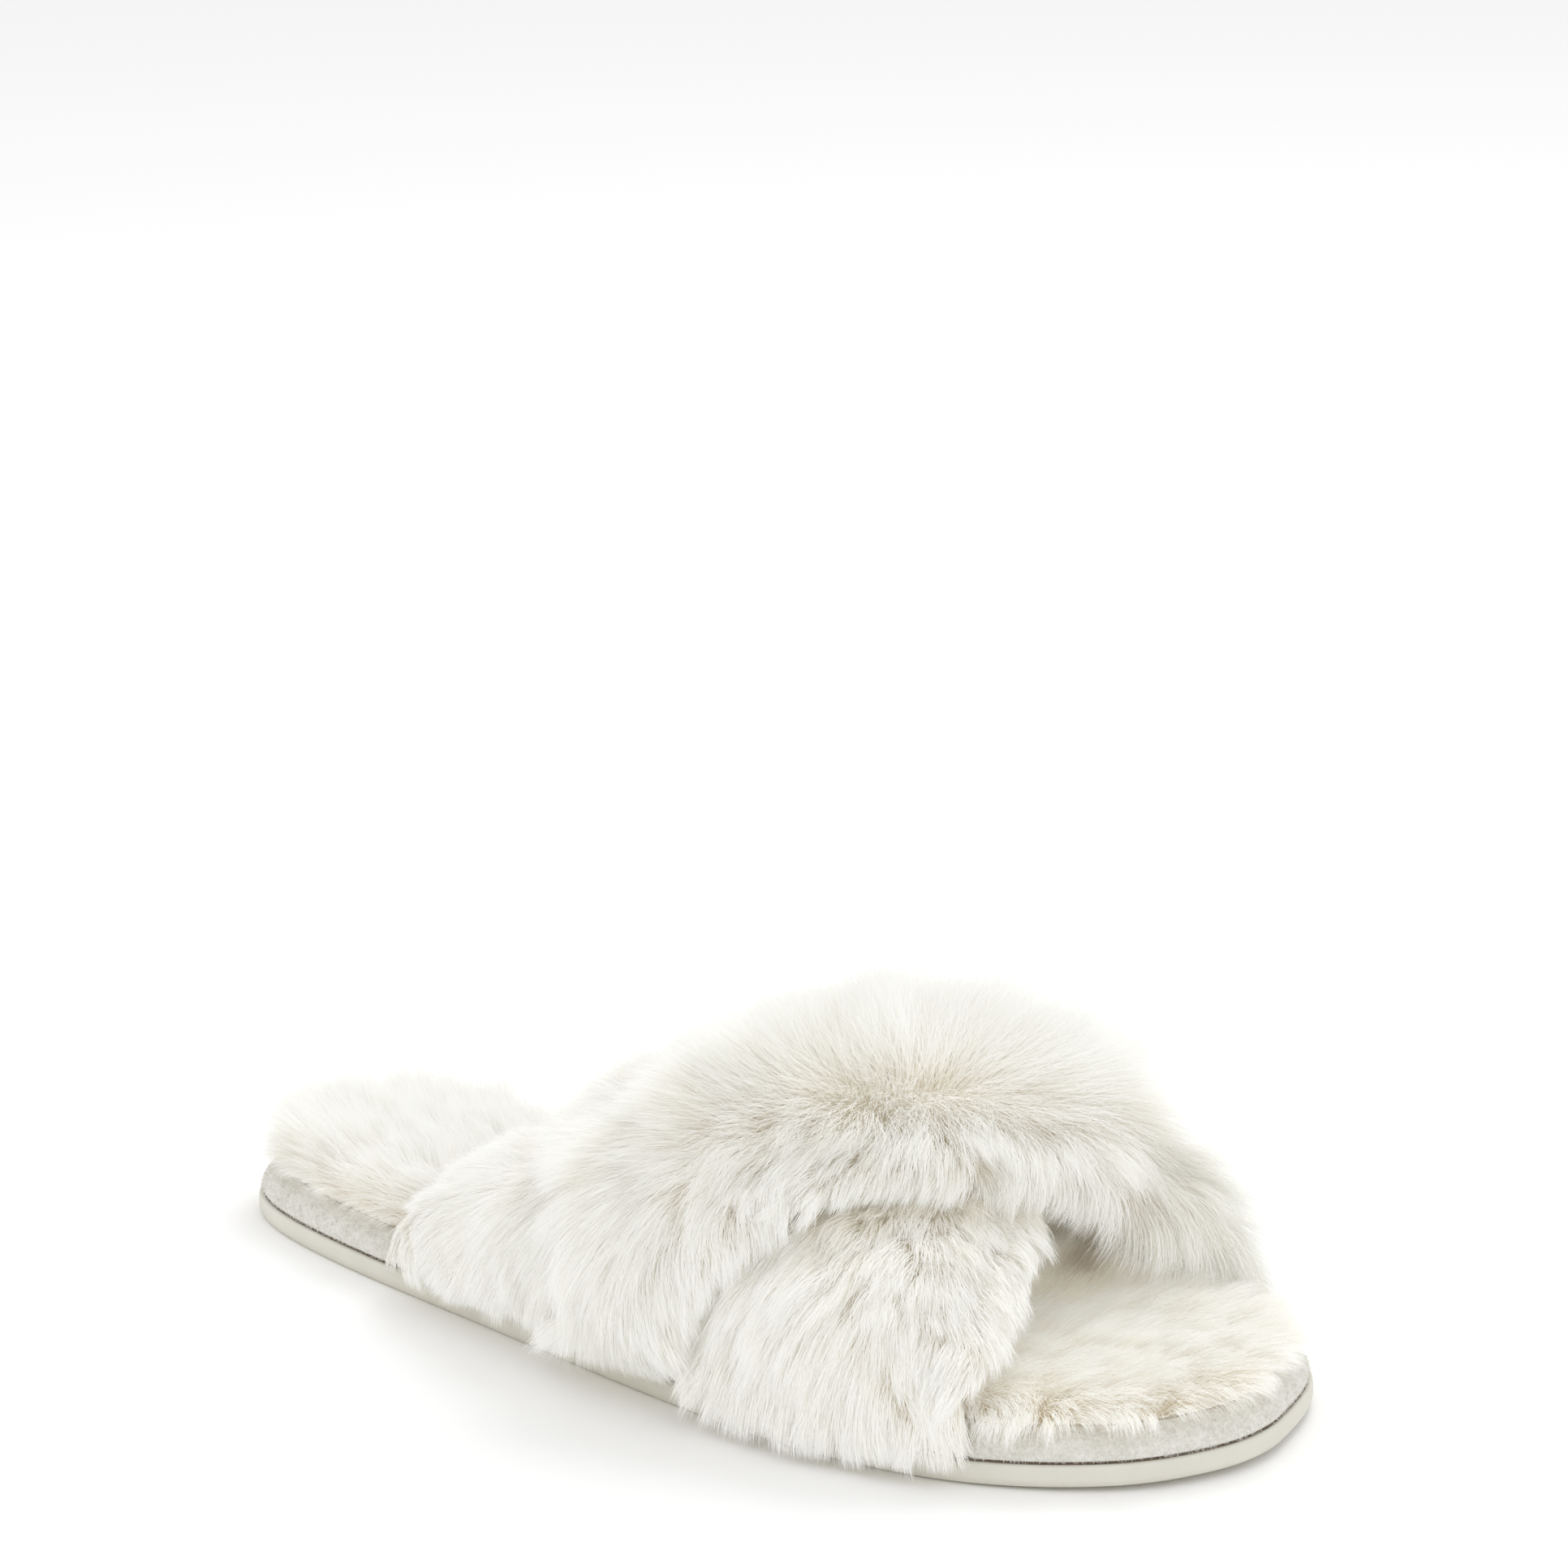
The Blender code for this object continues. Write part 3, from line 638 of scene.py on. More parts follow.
def grow(roots, normals, flow, bend, length, rise, lay, lowest, area, hold, ruffle):
    """Paths of combed strands, and a tone for each.

    rise and lay are a strand's angles off the skin at its root and tip, bend is how the skin's
    normal turns per metre along flow, and lowest is how far down its tip may come. Strands of one
    lock share a direction; those of one tuft draw together to a point."""
    count = len(roots)
    locks = rng.choice(count, min(count, int(area / LOCK**2) + 8), replace=False)
    in_lock = nearest(roots, roots[locks])
    swing = rng.normal(0, ruffle) * 0.35 + (rng.normal(0, 1, len(locks))[in_lock]) * ruffle
    stand = (rng.normal(0, LOCK_STAND, len(locks))[in_lock]
             + rng.normal(0, OWN_STAND, count))
    reach = np.exp(rng.normal(0, LOCK_REACH, len(locks))[in_lock])
    length = length * (reach * (0.6 + 0.45 * rng.random(count)**0.5))
    t = np.linspace(0, 1, STEPS)
    angle = fall_angle(rise, lay, t) + stand[:, None]
    travel = (length / STEPS)[:, None] * np.cumsum(np.cos(angle), axis=1)
    up = unit(normals[:, None] + bend[:, None] * travel[..., None])
    flow = turned(flow, normals, swing)[:, None]
    ahead = unit(flow - up * (flow * up).sum(-1, keepdims=True))
    wave = rng.normal(0, WAVE, (count, 1)) * np.sin(
        2.2 * np.pi * t * rng.uniform(0.5, 1.2, (count, 1)) + rng.uniform(0, 2 * np.pi, (count, 1)))
    heading = (up * np.sin(angle)[..., None] + ahead * np.cos(angle)[..., None]
               + np.cross(up, ahead) * wave[..., None])
    heading[..., 2] -= DROOP * t**1.5
    step = length[:, None, None] * unit(heading) / (STEPS - 1)
    paths = roots[:, None] + np.concatenate([np.zeros((count, 1, 3)),
                                             np.cumsum(step[:, :-1], axis=1)], axis=1)
    fall = roots[:, 2] - paths[:, -1, 2]
    hem = 0.6 * rng.uniform(0.55, 1.15, len(locks))[in_lock] + 0.4 * rng.uniform(0.7, 1.1, count)
    room = (roots[:, 2] - lowest) * hem
    shorter = np.clip(room / np.maximum(fall, 1e-6), SHORTEST, 1)
    paths = roots[:, None] + (paths - roots[:, None]) * shorter[:, None, None]
    tufts = rng.choice(count, min(count, int(area / TUFT**2) + 8), replace=False)
    in_tuft = nearest(roots, roots[tufts])
    grip = np.clip(rng.uniform(0.3, 1.0, len(tufts))[in_tuft] * hold, 0, FIRMEST)
    pull = grip[:, None] * smoothstep(t * 1.1) ** 1.2
    paths += (paths[tufts][in_tuft] - paths) * pull[..., None]
    tone = (WARM_TONE + rng.random(len(locks))[in_lock] * 0.31
            + rng.random(len(tufts))[in_tuft] * 0.35 + rng.uniform(0, 0.22, count))
    return paths, tone


def length_for(height, rise, lay):
    """Length that takes a strand to a given height."""
    t = np.linspace(0, 1, 12)
    climb = np.cumsum(np.sin(fall_angle(rise, lay, t)), axis=1).max(1) / len(t)
    return height / np.maximum(climb, 0.2)


def fur(name, replaced, roots, normals, paths, tone, finish, order):
    """Strands as one or more pieces that stand for a CAD pile, split where order says."""
    paths[..., 2] = np.maximum(paths[..., 2], FLOOR_GAP)
    turn = rng.normal(0, 0.5, len(roots))
    first = unit(paths[:, 2] - paths[:, 0])
    facing = turned(normals, first, turn)
    widths = STRAND_WIDTH * rng.uniform(0.7, 1.3, len(roots))
    pieces = -(-len(roots) // PIECE_STRANDS)
    for k, part in enumerate(np.array_split(np.argsort(order), pieces)):
        item = strand_mesh(f"{name}_{k + 1}", paths[part], widths[part], facing[part],
                           tone[part], finish)
        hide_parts(replaced)


def scattered(place, across, along, density, keep):
    """Random places on a patch given by place(a, b) over two ranges, even by area.

    density is strands per square metre; keep(a, b) thins them. Returns a, b and the area."""
    a = np.linspace(*across, 61)
    b = np.linspace(*along, 121)
    grid = place(*np.meshgrid((a[1:] + a[:-1]) / 2, (b[1:] + b[:-1]) / 2, indexing="ij"))
    da, db = np.gradient(grid, axis=0), np.gradient(grid, axis=1)
    cell = np.linalg.norm(np.cross(da, db), axis=-1)
    area = cell.sum()
    picked = rng.choice(cell.size, int(area * density), p=cell.ravel() / area)
    i, j = np.unravel_index(picked, cell.shape)
    a = a[i] + rng.random(len(i)) * (a[1] - a[0])
    b = b[j] + rng.random(len(j)) * (b[1] - b[0])
    chosen = rng.random(len(a)) < keep(a, b)
    return a[chosen], b[chosen], area


def comb(guides, u, w):
    """Direction and other values at (u, w), blended from comb guides (u, w, values...).

    Where neighbouring guides disagree, strands stray from the blended direction."""
    guides = np.array(guides, float)
    far = (((u[:, None] - guides[:, 0]) / GUIDE_REACH[0]) ** 2
           + ((w[:, None] - guides[:, 1]) / GUIDE_REACH[1]) ** 2)
    weight = 1 / (GUIDE_CORE + far) ** 2
    weight /= weight.sum(1, keepdims=True)
    angle = np.radians(guides[:, 2])
    ahead, aside = weight @ np.cos(angle), weight @ np.sin(angle)
    stray = rng.normal(0, STRAY, len(u)) * (1 - np.hypot(ahead, aside))
    return np.arctan2(aside, ahead) + stray, weight @ guides[:, 3:]


# Comb guides on the bands: s, v, then the direction the fur lies in degrees (0 towards the toe,
# 90 over the foot towards the inner side), its angle off the skin at root and tip, how high it
# stands as a multiple of the pile's height, its least and greatest length in mm, how firmly tufts
# hold, and how much locks stray from the direction, in radians.
OVER_COMB = [
    (0.03, -0.95, -68, 34, 4, 0.7, 6, 9, 0.35, 0.3),
    (0.03, 0, -95, 24, 0, 0.6, 8, 12, 0.35, 0.18),
    (0.03, 0.95, -55, 32, -10, 0.8, 9, 13, 0.4, 0.3),
    (0.12, -0.85, -140, 38, 6, 0.8, 8, 14, 0.3, 0.25),
    (0.12, -0.1, -108, 38, 4, 0.9, 10, 18, 0.3, 0.15),
    (0.13, 0.5, -95, 48, 4, 0.9, 12, 20, 0.4, 0.25),
    (0.12, 0.96, -44, 42, -24, 1.1, 9, 14, 0.45, 0.3),
    (0.21, -0.7, 195, 36, 12, 0.9, 8, 16, 0.2, 0.2),
    (0.21, 0, 205, 42, 14, 0.9, 10, 20, 0.25, 0.3),
    (0.21, 0.42, 235, 62, 40, 0.95, 11, 18, 0.3, 0.35),
    (0.21, 0.72, -88, 62, 0, 1, 11, 15, 0.28, 0.22),
    (0.20, 0.97, -50, 38, -32, 1.05, 9, 12, 0.45, 0.25),
    (0.31, -0.8, 175, 28, -8, 0.35, 5, 8, 0.2, 0.15),
    (0.31, 0, 180, 44, 14, 0.55, 8, 13, 0.15, 0.3),
    (0.31, 0.45, 205, 72, 60, 1.15, 11, 23, 0.15, 0.4),
    (0.31, 0.82, -66, 62, 0, 1, 11, 15, 0.28, 0.22),
    (0.31, 0.98, -54, 34, -34, 1, 8, 11, 0.6, 0.22),
    (0.43, -0.75, 165, 28, -8, 0.35, 5, 8, 0.2, 0.15),
    (0.43, 0.05, 160, 46, 18, 0.55, 8, 13, 0.15, 0.3),
    (0.43, 0.5, 150, 76, 62, 1.28, 11, 26, 0.15, 0.4),
    (0.43, 0.86, -36, 58, 0, 1, 14, 19, 0.32, 0.22),
    (0.43, 0.98, -44, 30, -50, 1, 14, 18, 0.75, 0.18),
    (0.56, -0.75, 150, 28, -8, 0.35, 5, 8, 0.2, 0.15),
    (0.56, 0.1, 135, 50, 26, 0.7, 9, 16, 0.15, 0.3),
    (0.56, 0.55, 70, 70, 50, 1.35, 13, 28, 0.2, 0.35),
    (0.56, 0.96, -22, 34, -56, 1.1, 19, 24, 0.55, 0.18),
    (0.72, -0.6, 115, 38, 10, 0.9, 8, 18, 0.2, 0.2),
    (0.72, 0.2, 60, 60, 34, 1.8, 16, 30, 0.25, 0.3),
    (0.72, 0.7, 16, 60, 22, 1.8, 19, 31, 0.35, 0.2),
    (0.72, 0.97, 0, 40, -50, 1.6, 21, 25, 0.5, 0.18),
    (0.92, -0.6, 95, 28, 0, 0.7, 8, 14, 0.3, 0.15),
    (0.92, 0.3, 75, 36, 0, 1, 11, 18, 0.3, 0.15),
    (0.92, 0.95, 30, 34, -30, 1.3, 16, 21, 0.45, 0.15),
]
UNDER_COMB = [
    (0.03, -0.9, -102, 26, 0, 0.8, 9, 14, 0.3, 0.1),
    (0.03, 0, -92, 26, 0, 0.8, 11, 15, 0.35, 0.1),
    (0.03, 0.9, -72, 28, -8, 0.8, 8, 12, 0.4, 0.35),
    (0.14, -0.8, -105, 36, 6, 0.9, 10, 16, 0.3, 0.12),
    (0.14, 0.1, -88, 36, 6, 0.9, 12, 18, 0.35, 0.12),
    (0.14, 0.9, -72, 34, -10, 1, 8, 12, 0.45, 0.18),
    (0.27, -0.4, -92, 40, 8, 0.9, 11, 18, 0.3, 0.14),
    (0.27, 0.4, -68, 40, 6, 0.9, 12, 18, 0.35, 0.14),
    (0.27, 0.95, -32, 34, -18, 1, 8, 11, 0.45, 0.18),
    (0.38, 0.2, -50, 40, 6, 0.9, 10, 16, 0.3, 0.15),
    (0.38, 0.9, -20, 34, -22, 1, 8, 10, 0.4, 0.2),
    (0.5, 0, -30, 36, 8, 0.9, 7, 14, 0.3, 0.2),
    (0.55, -0.8, 190, 30, -10, 0.6, 6, 9, 0.25, 0.15),
    (0.7, -0.6, 150, 30, 0, 0.6, 6, 10, 0.25, 0.15),
    (0.72, 0.5, 70, 36, 6, 0.9, 8, 14, 0.3, 0.2),
    (0.95, -0.8, 110, 26, 0, 0.7, 7, 12, 0.3, 0.12),
    (0.95, 0.5, 85, 28, 0, 0.7, 8, 12, 0.3, 0.12),
]


FUR_END = 0.02  # the fur's base stops dropping this far in s from an end
GROOVE_SHADE_AT = 3 * MM  # where and how widely fur beside the over band's front edge gets tan painted shade
GROOVE_SHADE_WIDTH = 6 * MM
STEP_S, STEP_V = 0.004, 0.02  # steps for slopes of a band's skin


def band_fur(name, over, density, guides):
    """Fur on a band, combed by its guides and shorter where the other band presses it."""
    band = OVER if over else UNDER

    def top_of_knit(s, v):
        return knit_offset(v, np.clip(s, FUR_END, 1 - FUR_END)) + KNIT

    def skin(s, v):
        return band_point(over, s, v, top_of_knit(s, v))

    def keep(s, v):
        centre, half = band_edges(band, s)
        if over:
            return np.ones_like(s)
        return smoothstep((beyond_band(OVER, centre + v * half, s) + 3 * MM) / (5 * MM))

    s, v, area = scattered(skin, (0.0, 1.0), (-1.0, 1.0), density, keep)
    drop = np.zeros(len(s))
    # The fabric is folded over along both edges, so fur also grows on their sides.
    more = int(len(s) * EDGE_SHARE)
    edge_s = rng.random(more)
    edge_v = rng.choice([-1.0, 1.0], more)
    chosen = rng.random(more) < keep(edge_s, edge_v)
    s, v = np.concatenate([s, edge_s[chosen]]), np.concatenate([v, edge_v[chosen]])
    drop = np.concatenate([drop, rng.random(chosen.sum())])
    top = top_of_knit(s, v)
    roots = band_point(over, s, v, top - drop * (top - LINING))
    along = unit(skin(s, v + STEP_V) - skin(s, v - STEP_V))
    across = skin(s + STEP_S, v) - skin(s - STEP_S, v)
    over_foot = np.linalg.norm(across, axis=1) / (2 * STEP_S)
    normals = unit(np.cross(along, across))
    across = np.cross(normals, along)
    heading, rest = comb(guides, s, v)
    rise, lay, share, least, most, hold, ruffle = rest.T
    rise, lay = np.radians(rise) + 0.1, np.radians(lay)
    flow = along * np.cos(heading)[:, None] + across * np.sin(heading)[:, None]
    step = 3 * MM
    centre, half = band_edges(band, s)
    x = centre + v * half
    there = arch_normal(x + step * np.cos(heading),
                        np.clip(s + step * np.sin(heading) / over_foot, 0, 1))
    bend = (there - arch_normal(x, s)) / step
    # On an edge's side, the fur leaves sideways instead of up.
    roll = smoothstep((np.abs(v) - 0.93) / 0.07) * (0.5 + drop)
    normals = unit(normals + along * (np.sign(v) * roll)[:, None])
    flow = unit(flow - normals * (flow * normals).sum(1, keepdims=True))
    height = (pile_height(over, v, s, x) + 2 * MM) * share
    length = np.clip(length_for(height, rise, lay), least * MM, most * MM) * (1 - 0.35 * drop)
    if not over:
        near = smoothstep((beyond_band(OVER, x, s) + 2 * MM) / ((4 + 8 * low_down(s)) * MM))
        length = np.minimum(length, 5 * MM + 15 * MM * near)
    over_rim = over & (x < 30 * MM)
    lowest = np.where(over_rim, 4.6 * MM, 1.0 * MM) + toe_curl(x)
    paths, tone = grow(roots, normals, flow, bend, length, rise, lay, lowest, area, hold, ruffle)
    if not over:
        # Painted shade: fur in the groove under the over band's front edge is tinted tan.
        groove_shade = np.exp(-((beyond_band(OVER, x, s) - GROOVE_SHADE_AT) / GROOVE_SHADE_WIDTH) ** 2)
        tone *= 1 - 0.8 * groove_shade * smoothstep((s - 0.18) / 0.12) * (x > 0)
    fur(name + "_fur", name + "_pile", roots, normals, paths, tone, FUR, s)


def bed_height(x, y):
    """Top of the footbed's ground knit, and how far inside the sole's edge (x, y) is."""
    tree = KDTree(len(FINE_EDGE))
    for i, (a, b) in enumerate(FINE_EDGE):
        tree.insert((a, b, 0), i)
    tree.balance()
    inside = np.array([tree.find((a, b, 0))[2] for a, b in zip(x.ravel(), y.ravel())])
    inside = inside.reshape(x.shape)
    face = WRAP_INSET_OPEN + (WRAP_INSET_HELD - WRAP_INSET_OPEN) * held(x)
    start = face + WRAP_LIP + GAP
    crown = face + WRAP_THICKNESS + GAP + CROWN_INSET
    low, high = FOAM_EDGE + 0.9 * MM + KNIT, FOAM_TOP + GAP + KNIT
    z = low + (high - low) * smoothstep((inside - start) / (crown - start)) + toe_curl(x)
    return z, inside - start


# Places on the footbed, as x, y and a radius along each: NOOK is the corner under the bands where
# fur stands up and is tinted tan as painted shade, and DRAPE is where fur hangs over the rim. BARE
# lists thin places, each with how bare it is.
NOOK = MM * np.array([62, 29, 12, 17])
DRAPE = MM * np.array([97, -31, 13, 13])
BARE = ((MM * np.array([115, -11, 3.5, 2.5]), 0.85), (MM * np.array([119.5, -3, 2.5, 4]), 0.8),
        (MM * np.array([-81, -18, 7, 2.5]), 0.7), (MM * np.array([-78, -2, 6, 2]), 0.4))


def spot(x, y, place):
    """A soft weight, 1 at a place and fading over its radii."""
    return np.exp(-((x - place[0]) / place[2]) ** 2 - ((y - place[1]) / place[3]) ** 2)


BED_BACK = -124.5 * MM
BED_LENGTH = 248.5 * MM


def footbed_fur():
    """Fur on the footbed, thinner where the bands cover it."""
    def skin(u, w):
        x = BED_BACK + BED_LENGTH * u
        y = np.where(w < 0, w * half_width(x, -1), w * half_width(x, 1))
        return np.stack([x, y, np.full_like(x, FOAM_TOP)], -1)

    def keep(u, w):
        p = skin(u, w)
        covered = (smoothstep((p[:, 0] + 36 * MM) / (12 * MM))
                   * smoothstep((30 * MM - p[:, 0]) / (12 * MM)))
        return 1 - 0.55 * covered

    u, w, area = scattered(skin, (0.0, 1.0), (-0.98, 0.98), BED_DENSITY, keep)
    p = skin(u, w)
    z, inside = bed_height(p[:, 0], p[:, 1])
    chosen = inside > 0.2 * MM
    p, inside = p[chosen], inside[chosen]
    p[:, 2] = z[chosen]
    x, y = p[:, 0], p[:, 1]
    rim = np.column_stack([FINE_EDGE, np.zeros(len(FINE_EDGE))])
    outward = FINE_EDGE[nearest(p * (1, 1, 0), rim)] - p[:, :2]
    outward /= np.linalg.norm(outward, axis=1)[:, None]
    # Fur lies towards the toe in front of the bands and towards the heel behind them, and
    # outwards along the border.
    toe = smoothstep((x - 20 * MM) / (60 * MM))
    main = np.stack([np.where(toe > 0.5, 1.0, -1.0) * np.abs(2 * toe - 1) + 0.05,
                     0.35 * np.ones_like(x)], -1)
    border = np.exp(-inside / (5 * MM))[:, None]
    heel = 1 - smoothstep((x + 90 * MM) / (50 * MM))
    flat = main * (1 - border) + outward * border * 1.6
    flat /= np.linalg.norm(flat, axis=1)[:, None]
    flow = np.column_stack([flat, np.zeros(len(x))])
    normals = unit(np.column_stack([outward * 0.35 * np.exp(-inside / (6 * MM))[:, None],
                                    np.ones(len(x))]))
    flow = unit(flow - normals * (flow * normals).sum(1, keepdims=True))
    low = smoothstep(inside / (7 * MM))
    nook, drape = spot(x, y, NOOK), spot(x, y, DRAPE) * (1 - low)
    bare = np.max([spot(x, y, place) * amount for place, amount in BARE], axis=0)
    height = soft_interp(x, PILE_X, PILE_HEIGHT) + (1.0 + 0.8 * heel + 3 * nook) * MM
    height *= (0.75 + 0.25 * low) * (1 - 0.5 * bare)
    # Angles off the skin at root and tip, in degrees, and the greatest length, in mm.
    rise = np.radians(58 + 8 * heel + 16 * nook - 16 * drape)
    lay = np.radians((-26 + 12 * heel - 30 * drape + (38 + 2 * heel) * low) * (1 - nook) + 50 * nook)
    most = (9.5 - 2 * heel + 3.5 * drape + (6.5 + 4 * heel) * low + 6 * nook) * MM
    length = np.minimum(length_for(height, rise, lay), most)
    chosen = rng.random(len(x)) > bare
    p, normals, flow, length, rise, lay, low, heel, nook = (
        q[chosen] for q in (p, normals, flow, length, rise, lay, low, heel, nook))
    lowest = np.where(low < 1, OUTSOLE_TOP + 1.0 * MM, 2.5 * MM) + toe_curl(p[:, 0])
    paths, tone = grow(p, normals, flow, np.zeros_like(p), length, rise, lay, lowest, area,
                       0.5 - 0.2 * low - 0.15 * heel, 0.3 - 0.14 * heel)
    # Painted shade: fur in the nook under the bands is tinted tan.
    tone *= 1 - 0.96 * nook
    front = p[:, 0] > 0
    for name, part, finish in (("heel_fur", ~front, HEEL_FUR), ("toe_fur", front, TOE_FUR)):
        fur("footbed_" + name, "footbed_pile", p[part], normals[part], paths[part], tone[part],
            finish, p[part, 0])


band_fur("over_band", True, OVER_DENSITY, OVER_COMB)
band_fur("under_band", False, UNDER_DENSITY, UNDER_COMB)
footbed_fur()

# ---- the sole and footbed


def build_outsole():
    """The moulded sole with rounded edges, a recess inside and a grooved tread."""
    wall = rounded([(3.0 * MM, 0), (0.6 * MM, 0), (0, 1.2 * MM), (0, 2.4 * MM),
                    (0, OUTSOLE_TOP - 0.7 * MM), (0.3 * MM, OUTSOLE_TOP), (2.2 * MM, OUTSOLE_TOP)],
                   closed=False)
    rings = [ring(*p) for p in wall]
    rings += [ring(RECESS_INSET, OUTSOLE_TOP), ring(RECESS_INSET, RECESS_FLOOR)]
    sole = loft("sole", rings, RUBBER, sharp=0.6)
    shape = bmesh.new()
    for first, last, pitch in GROOVE_RUNS:
        for x in np.arange(first, last + 1, pitch) * MM:
            low, high = -half_width(x, -1) + GROOVE_EDGE, half_width(x, 1) - GROOVE_EDGE
            box = bmesh.ops.create_cube(shape, size=1)["verts"]
            bmesh.ops.scale(shape, verts=box, vec=(GROOVE_WIDTH, high - low, 2 * GROOVE_DEPTH))
            bmesh.ops.translate(shape, verts=box, vec=(x, (low + high) / 2, toe_curl(x)))
    mesh = bpy.data.meshes.new("tread_cutter")
    shape.to_mesh(mesh)
    shape.free()
    cutter = placed("tread_cutter", mesh)
    cut = sole.modifiers.new("tread", "BOOLEAN")
    cut.operation = "DIFFERENCE"
    cut.object = cutter
    bpy.context.view_layer.update()
    graph = bpy.context.evaluated_depsgraph_get()
    sole.data = bpy.data.meshes.new_from_object(sole.evaluated_get(graph), depsgraph=graph)
    sole.modifiers.clear()
    bpy.data.objects.remove(cutter)
    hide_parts("outsole")


NAP_DROOP = 0.12
WRAP_NAP = 60000  # fibres on the wrap band and on each lining
LINING_NAP = 40000


def nap(name, source, count, length, width, finish):
    """Short bent fibres spread evenly over the faces of a finished piece."""
    mesh = source.data
    mesh.calc_loop_triangles()
    corners = np.empty(len(mesh.loop_triangles) * 3, np.int32)
    mesh.loop_triangles.foreach_get("vertices", corners)
    points = np.empty(len(mesh.vertices) * 3, np.float32)
    mesh.vertices.foreach_get("co", points)
    a, b, c = (points.reshape(-1, 3).astype(float)[corners.reshape(-1, 3)[:, k]] for k in range(3))
    normal = np.cross(b - a, c - a)
    size = np.linalg.norm(normal, axis=1)
    picked = rng.choice(len(size), count, p=size / size.sum())
    u, v = rng.random((2, count, 1))
    u, v = np.where(u + v > 1, 1 - u, u), np.where(u + v > 1, 1 - v, v)
    roots = a[picked] + u * (b - a)[picked] + v * (c - a)[picked]
    normal = unit(normal[picked])
    side = unit(np.cross(normal, rng.normal(0, 1, (count, 3))))
    heading = normal * 0.6 + side * rng.uniform(0.3, 0.9, (count, 1))
    heading[:, 2] -= NAP_DROOP
    reach = length * rng.uniform(0.5, 1.3, (count, 1))
    middle = roots + unit(heading) * reach * 0.5
    tip = middle + unit(heading - normal * 0.5) * reach * 0.5
    paths = np.stack([roots, middle, tip], axis=1)
    item = strand_mesh(name, paths, np.full(count, width), normal, rng.random(count), finish)


def build_footbed():
    """Foam, wrap band, ground knit and seam; the bands hold the wrap band in."""
    face = blend(WRAP_INSET_OPEN, WRAP_INSET_HELD)
    bottom = blend(OUTSOLE_TOP + GAP, BOARD_BOTTOM + GAP)
    core = face + WRAP_THICKNESS + GAP
    lip, crown = face + WRAP_LIP, core + CROWN_INSET
    foam = loft("footbed_cushion",
                [ring(core, BOARD_TOP + GAP), ring(core, FOAM_EDGE - 1.0 * MM),
                 ring(core + 0.3 * MM, FOAM_EDGE - 0.4 * MM), ring(core + 0.9 * MM, FOAM_EDGE),
                 ring(lip, FOAM_EDGE + 0.5 * MM), ring((lip + crown) / 2, FOAM_TOP - 0.6 * MM),
                 ring(crown, FOAM_TOP)], FOAM)
    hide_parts("footbed_foam")
    lip_low = FOAM_EDGE + 0.5 * MM + GAP
    wall = np.maximum(bottom + 0.8 * MM, FOAM_EDGE - 2.2 * MM)
    profile = rounded([(face + 0.5 * MM, bottom), (face, bottom + 0.4 * MM),
                       (face + 0.1 * MM, wall), (face + 0.9 * MM, FOAM_EDGE - 0.6 * MM),
                       (face + 2.0 * MM, FOAM_EDGE + 0.4 * MM),
                       (face + 3.2 * MM, FOAM_EDGE + 1.1 * MM), (lip, lip_low + 1.0 * MM),
                       (lip, lip_low), (core + 0.7 * MM, FOAM_EDGE + 0.4 * MM),
                       (core - GAP, FOAM_EDGE - 0.7 * MM), (core - GAP, bottom)],
                      closed=True, steps=2)
    wrap = loft("footbed_wrap_band", [ring(*p) for p in profile], WRAP_KNIT, closed=True)
    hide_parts("footbed_wrap")
    nap("footbed_wrap_nap", wrap, WRAP_NAP, 0.9 * MM, 0.05 * MM, WRAP_KNIT)

    start, top = lip + GAP, FOAM_TOP + GAP
    ground = loft("footbed_ground",
                  [ring(crown, top), ring((start + crown) / 2, (top + lip_low) / 2 + 0.4 * MM),
                   ring(start, lip_low + 0.1 * MM), ring(start, lip_low + 0.1 * MM + KNIT),
                   ring((start + crown) / 2, (top + lip_low) / 2 + 0.4 * MM + KNIT),
                   ring(crown, top + KNIT)], BED_KNIT)
    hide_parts("footbed_knit")

    seam = curled(ring(lip - 0.5 * MM, lip_low + 1.0 * MM + GAP + THREAD / 2))
    stitches = stitched(np.vstack([seam, seam[:1]]), pitch=3.0 * MM, share=0.7)
    thread = tubes("footbed_seam", stitches, THREAD / 2, THREADS)
    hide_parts("footbed_seam_thread")


def stitched(path, pitch, share):
    """Short stretches of a path, one stitch each, taking up share of every pitch."""
    length = run_length(path)
    starts = np.arange(0, length[-1] - pitch, pitch)
    at = starts[:, None] + np.linspace(0, pitch * share, 5)
    return np.stack([np.interp(at, length, path[:, k]) for k in range(3)], axis=-1)


def build_cement_and_shade():
    """The dark line in the joint between the sole and what stands on it: cement and painted shade.
    """
    outer, inner = 0.9 * MM, 2.6 * MM
    low, high = OUTSOLE_TOP + 0.04 * MM, OUTSOLE_TOP + GAP - 0.04 * MM
    rings = [ring(outer, low), ring(outer, high), ring(inner, high), ring(inner, low)]
    line = loft("joint_cement_and_shade_line", rings, CEMENT_AND_SHADE, closed=True)


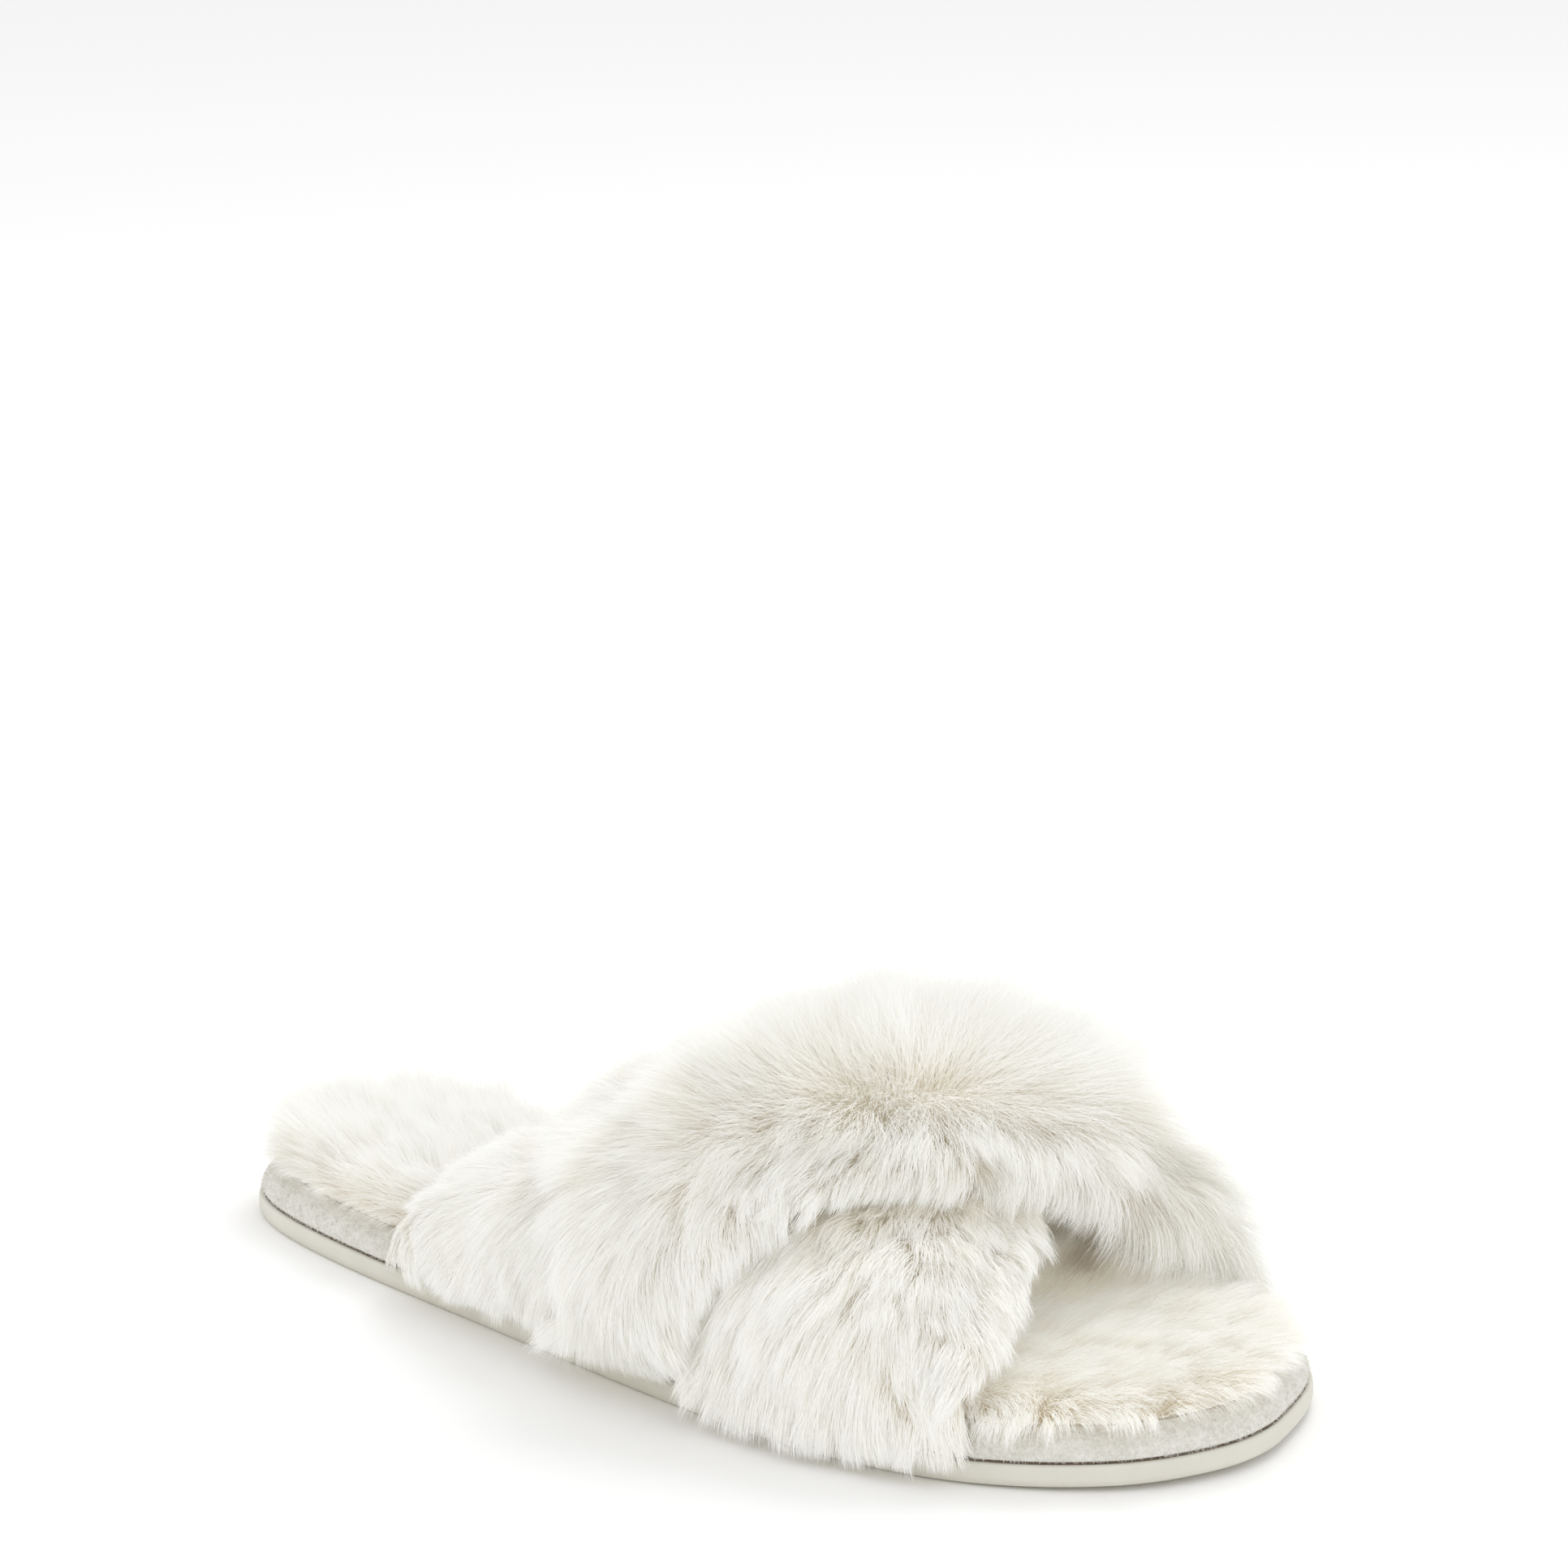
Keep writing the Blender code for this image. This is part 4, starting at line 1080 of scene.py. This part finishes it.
def build_band(name, over):
    """A band's lining, knit, interlining and edge seams."""
    rows = np.concatenate([TUCK_LINES, np.linspace(0, 1, 97), 1 - TUCK_LINES[::-1]])
    s, v = np.meshgrid(rows, np.linspace(-1, 1, 33), indexing="ij")
    turned_under = np.minimum(s, 1 - s) < -0.002
    lining = slab(name + "_lining_cloth", band_point(over, s, v, 0 * v),
                  band_point(over, s, v, np.where(turned_under, TUCKED, LINING)), FLEECE)
    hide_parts(name + "_lining")
    nap(name + "_lining_nap", lining, LINING_NAP, 1.6 * MM, 0.06 * MM, FLEECE)
    low = knit_offset(v, s)
    ground = slab(name + "_ground", band_point(over, s, v, low),
                  band_point(over, s, v, low + np.where(turned_under, TUCKED, KNIT)), GROUND_KNIT)
    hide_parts(name + "_knit")
    s, v = np.meshgrid(np.linspace(PAD_END, 1 - PAD_END, 81), np.linspace(-PAD_SIDE, PAD_SIDE, 25),
                       indexing="ij")
    low = LINING + GAP + 0 * v
    pad = slab(name + "_pad", band_point(over, s, v, low),
               band_point(over, s, v, low + interlining(v, s)), FOAM)
    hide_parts(name + "_foam")
    for edge, at in (("back", -SEAM), ("front", SEAM)):
        s = np.linspace(0.06, 0.94, 160)
        path = band_point(over, s, np.full_like(s, at),
                          np.full_like(s, LINING + GAP + INTERLINING_EDGE / 2))
        seam = tubes(f"{name}_{edge}_seam_stitches", stitched(path, pitch=3.2 * MM, share=0.75),
                     THREAD / 2, THREADS)
        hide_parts(f"{name}_{edge}_thread")


build_outsole()
build_footbed()
build_cement_and_shade()
build_band("under_band", False)
build_band("over_band", True)
for name, finish in (("sole_filler", FILLER), ("lasting_filler", FELT), ("insole_board", BOARD)):
    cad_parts[name].data.materials[0] = finish


# ---- floor, light and camera

WHITE = (1, 1, 1, 1)
FLOOR_REACH = 12
SKY = 0.88
LAMPS = (("key", (-0.1, 0.7, 1.15), 0.8, 4.2),  # name, place, size and power
         ("toe_side", (1.0, -0.35, 0.3), 0.7, 1.1),
         ("heel_side", (-0.9, -0.9, 0.5), 0.9, 1.6))
CAMERA_PLACE = (0.7745, -0.8242, 0.4265)
CAMERA_LENS = 139.2
CAMERA_TURN, CAMERA_TILT, CAMERA_ROLL = 42.63, 15.65, -1.08  # degrees


def build_stage():
    material, _, shader = new_material("pale_floor", roughness=0.9)
    preset(shader, {"Base Color": WHITE, "Specular IOR Level": 0.0})
    far = FLOOR_REACH
    mesh = bpy.data.meshes.new("floor")
    mesh.from_pydata([(-far, -far, 0), (far, -far, 0), (far, far, 0), (-far, far, 0)], [],
                     [(0, 1, 2, 3)])
    mesh.materials.append(material)
    floor = placed("floor", mesh)

    world = bpy.data.worlds.new("studio")
    scene.world = world
    world.use_nodes = True
    preset(world.node_tree.nodes["Background"], {"Color": WHITE, "Strength": SKY})
    for name, place, size, power in LAMPS:
        light = bpy.data.lights.new(name, "AREA")
        light.shape = "DISK"
        light.size = size
        light.energy = power
        item = placed(name, light)
        item.location = place
        aim = -item.location.normalized()
        item.rotation_euler = aim.to_track_quat("-Z", "Y").to_euler()


def build_camera():
    """A camera in front of the slipper's outer side, a little above it."""
    camera = bpy.data.cameras.new("camera")
    camera.lens = CAMERA_LENS
    camera.clip_end = 50
    item = placed("camera", camera)
    turn = (Matrix.Rotation(math.radians(CAMERA_TURN), 4, "Z")
            @ Matrix.Rotation(math.radians(90 - CAMERA_TILT), 4, "X")
            @ Matrix.Rotation(math.radians(CAMERA_ROLL), 4, "Z"))
    item.matrix_world = Matrix.Translation(CAMERA_PLACE) @ turn
    scene.camera = item
    scene.view_settings.view_transform = "Standard"
    scene.cycles.diffuse_bounces = 10


build_stage()
build_camera()
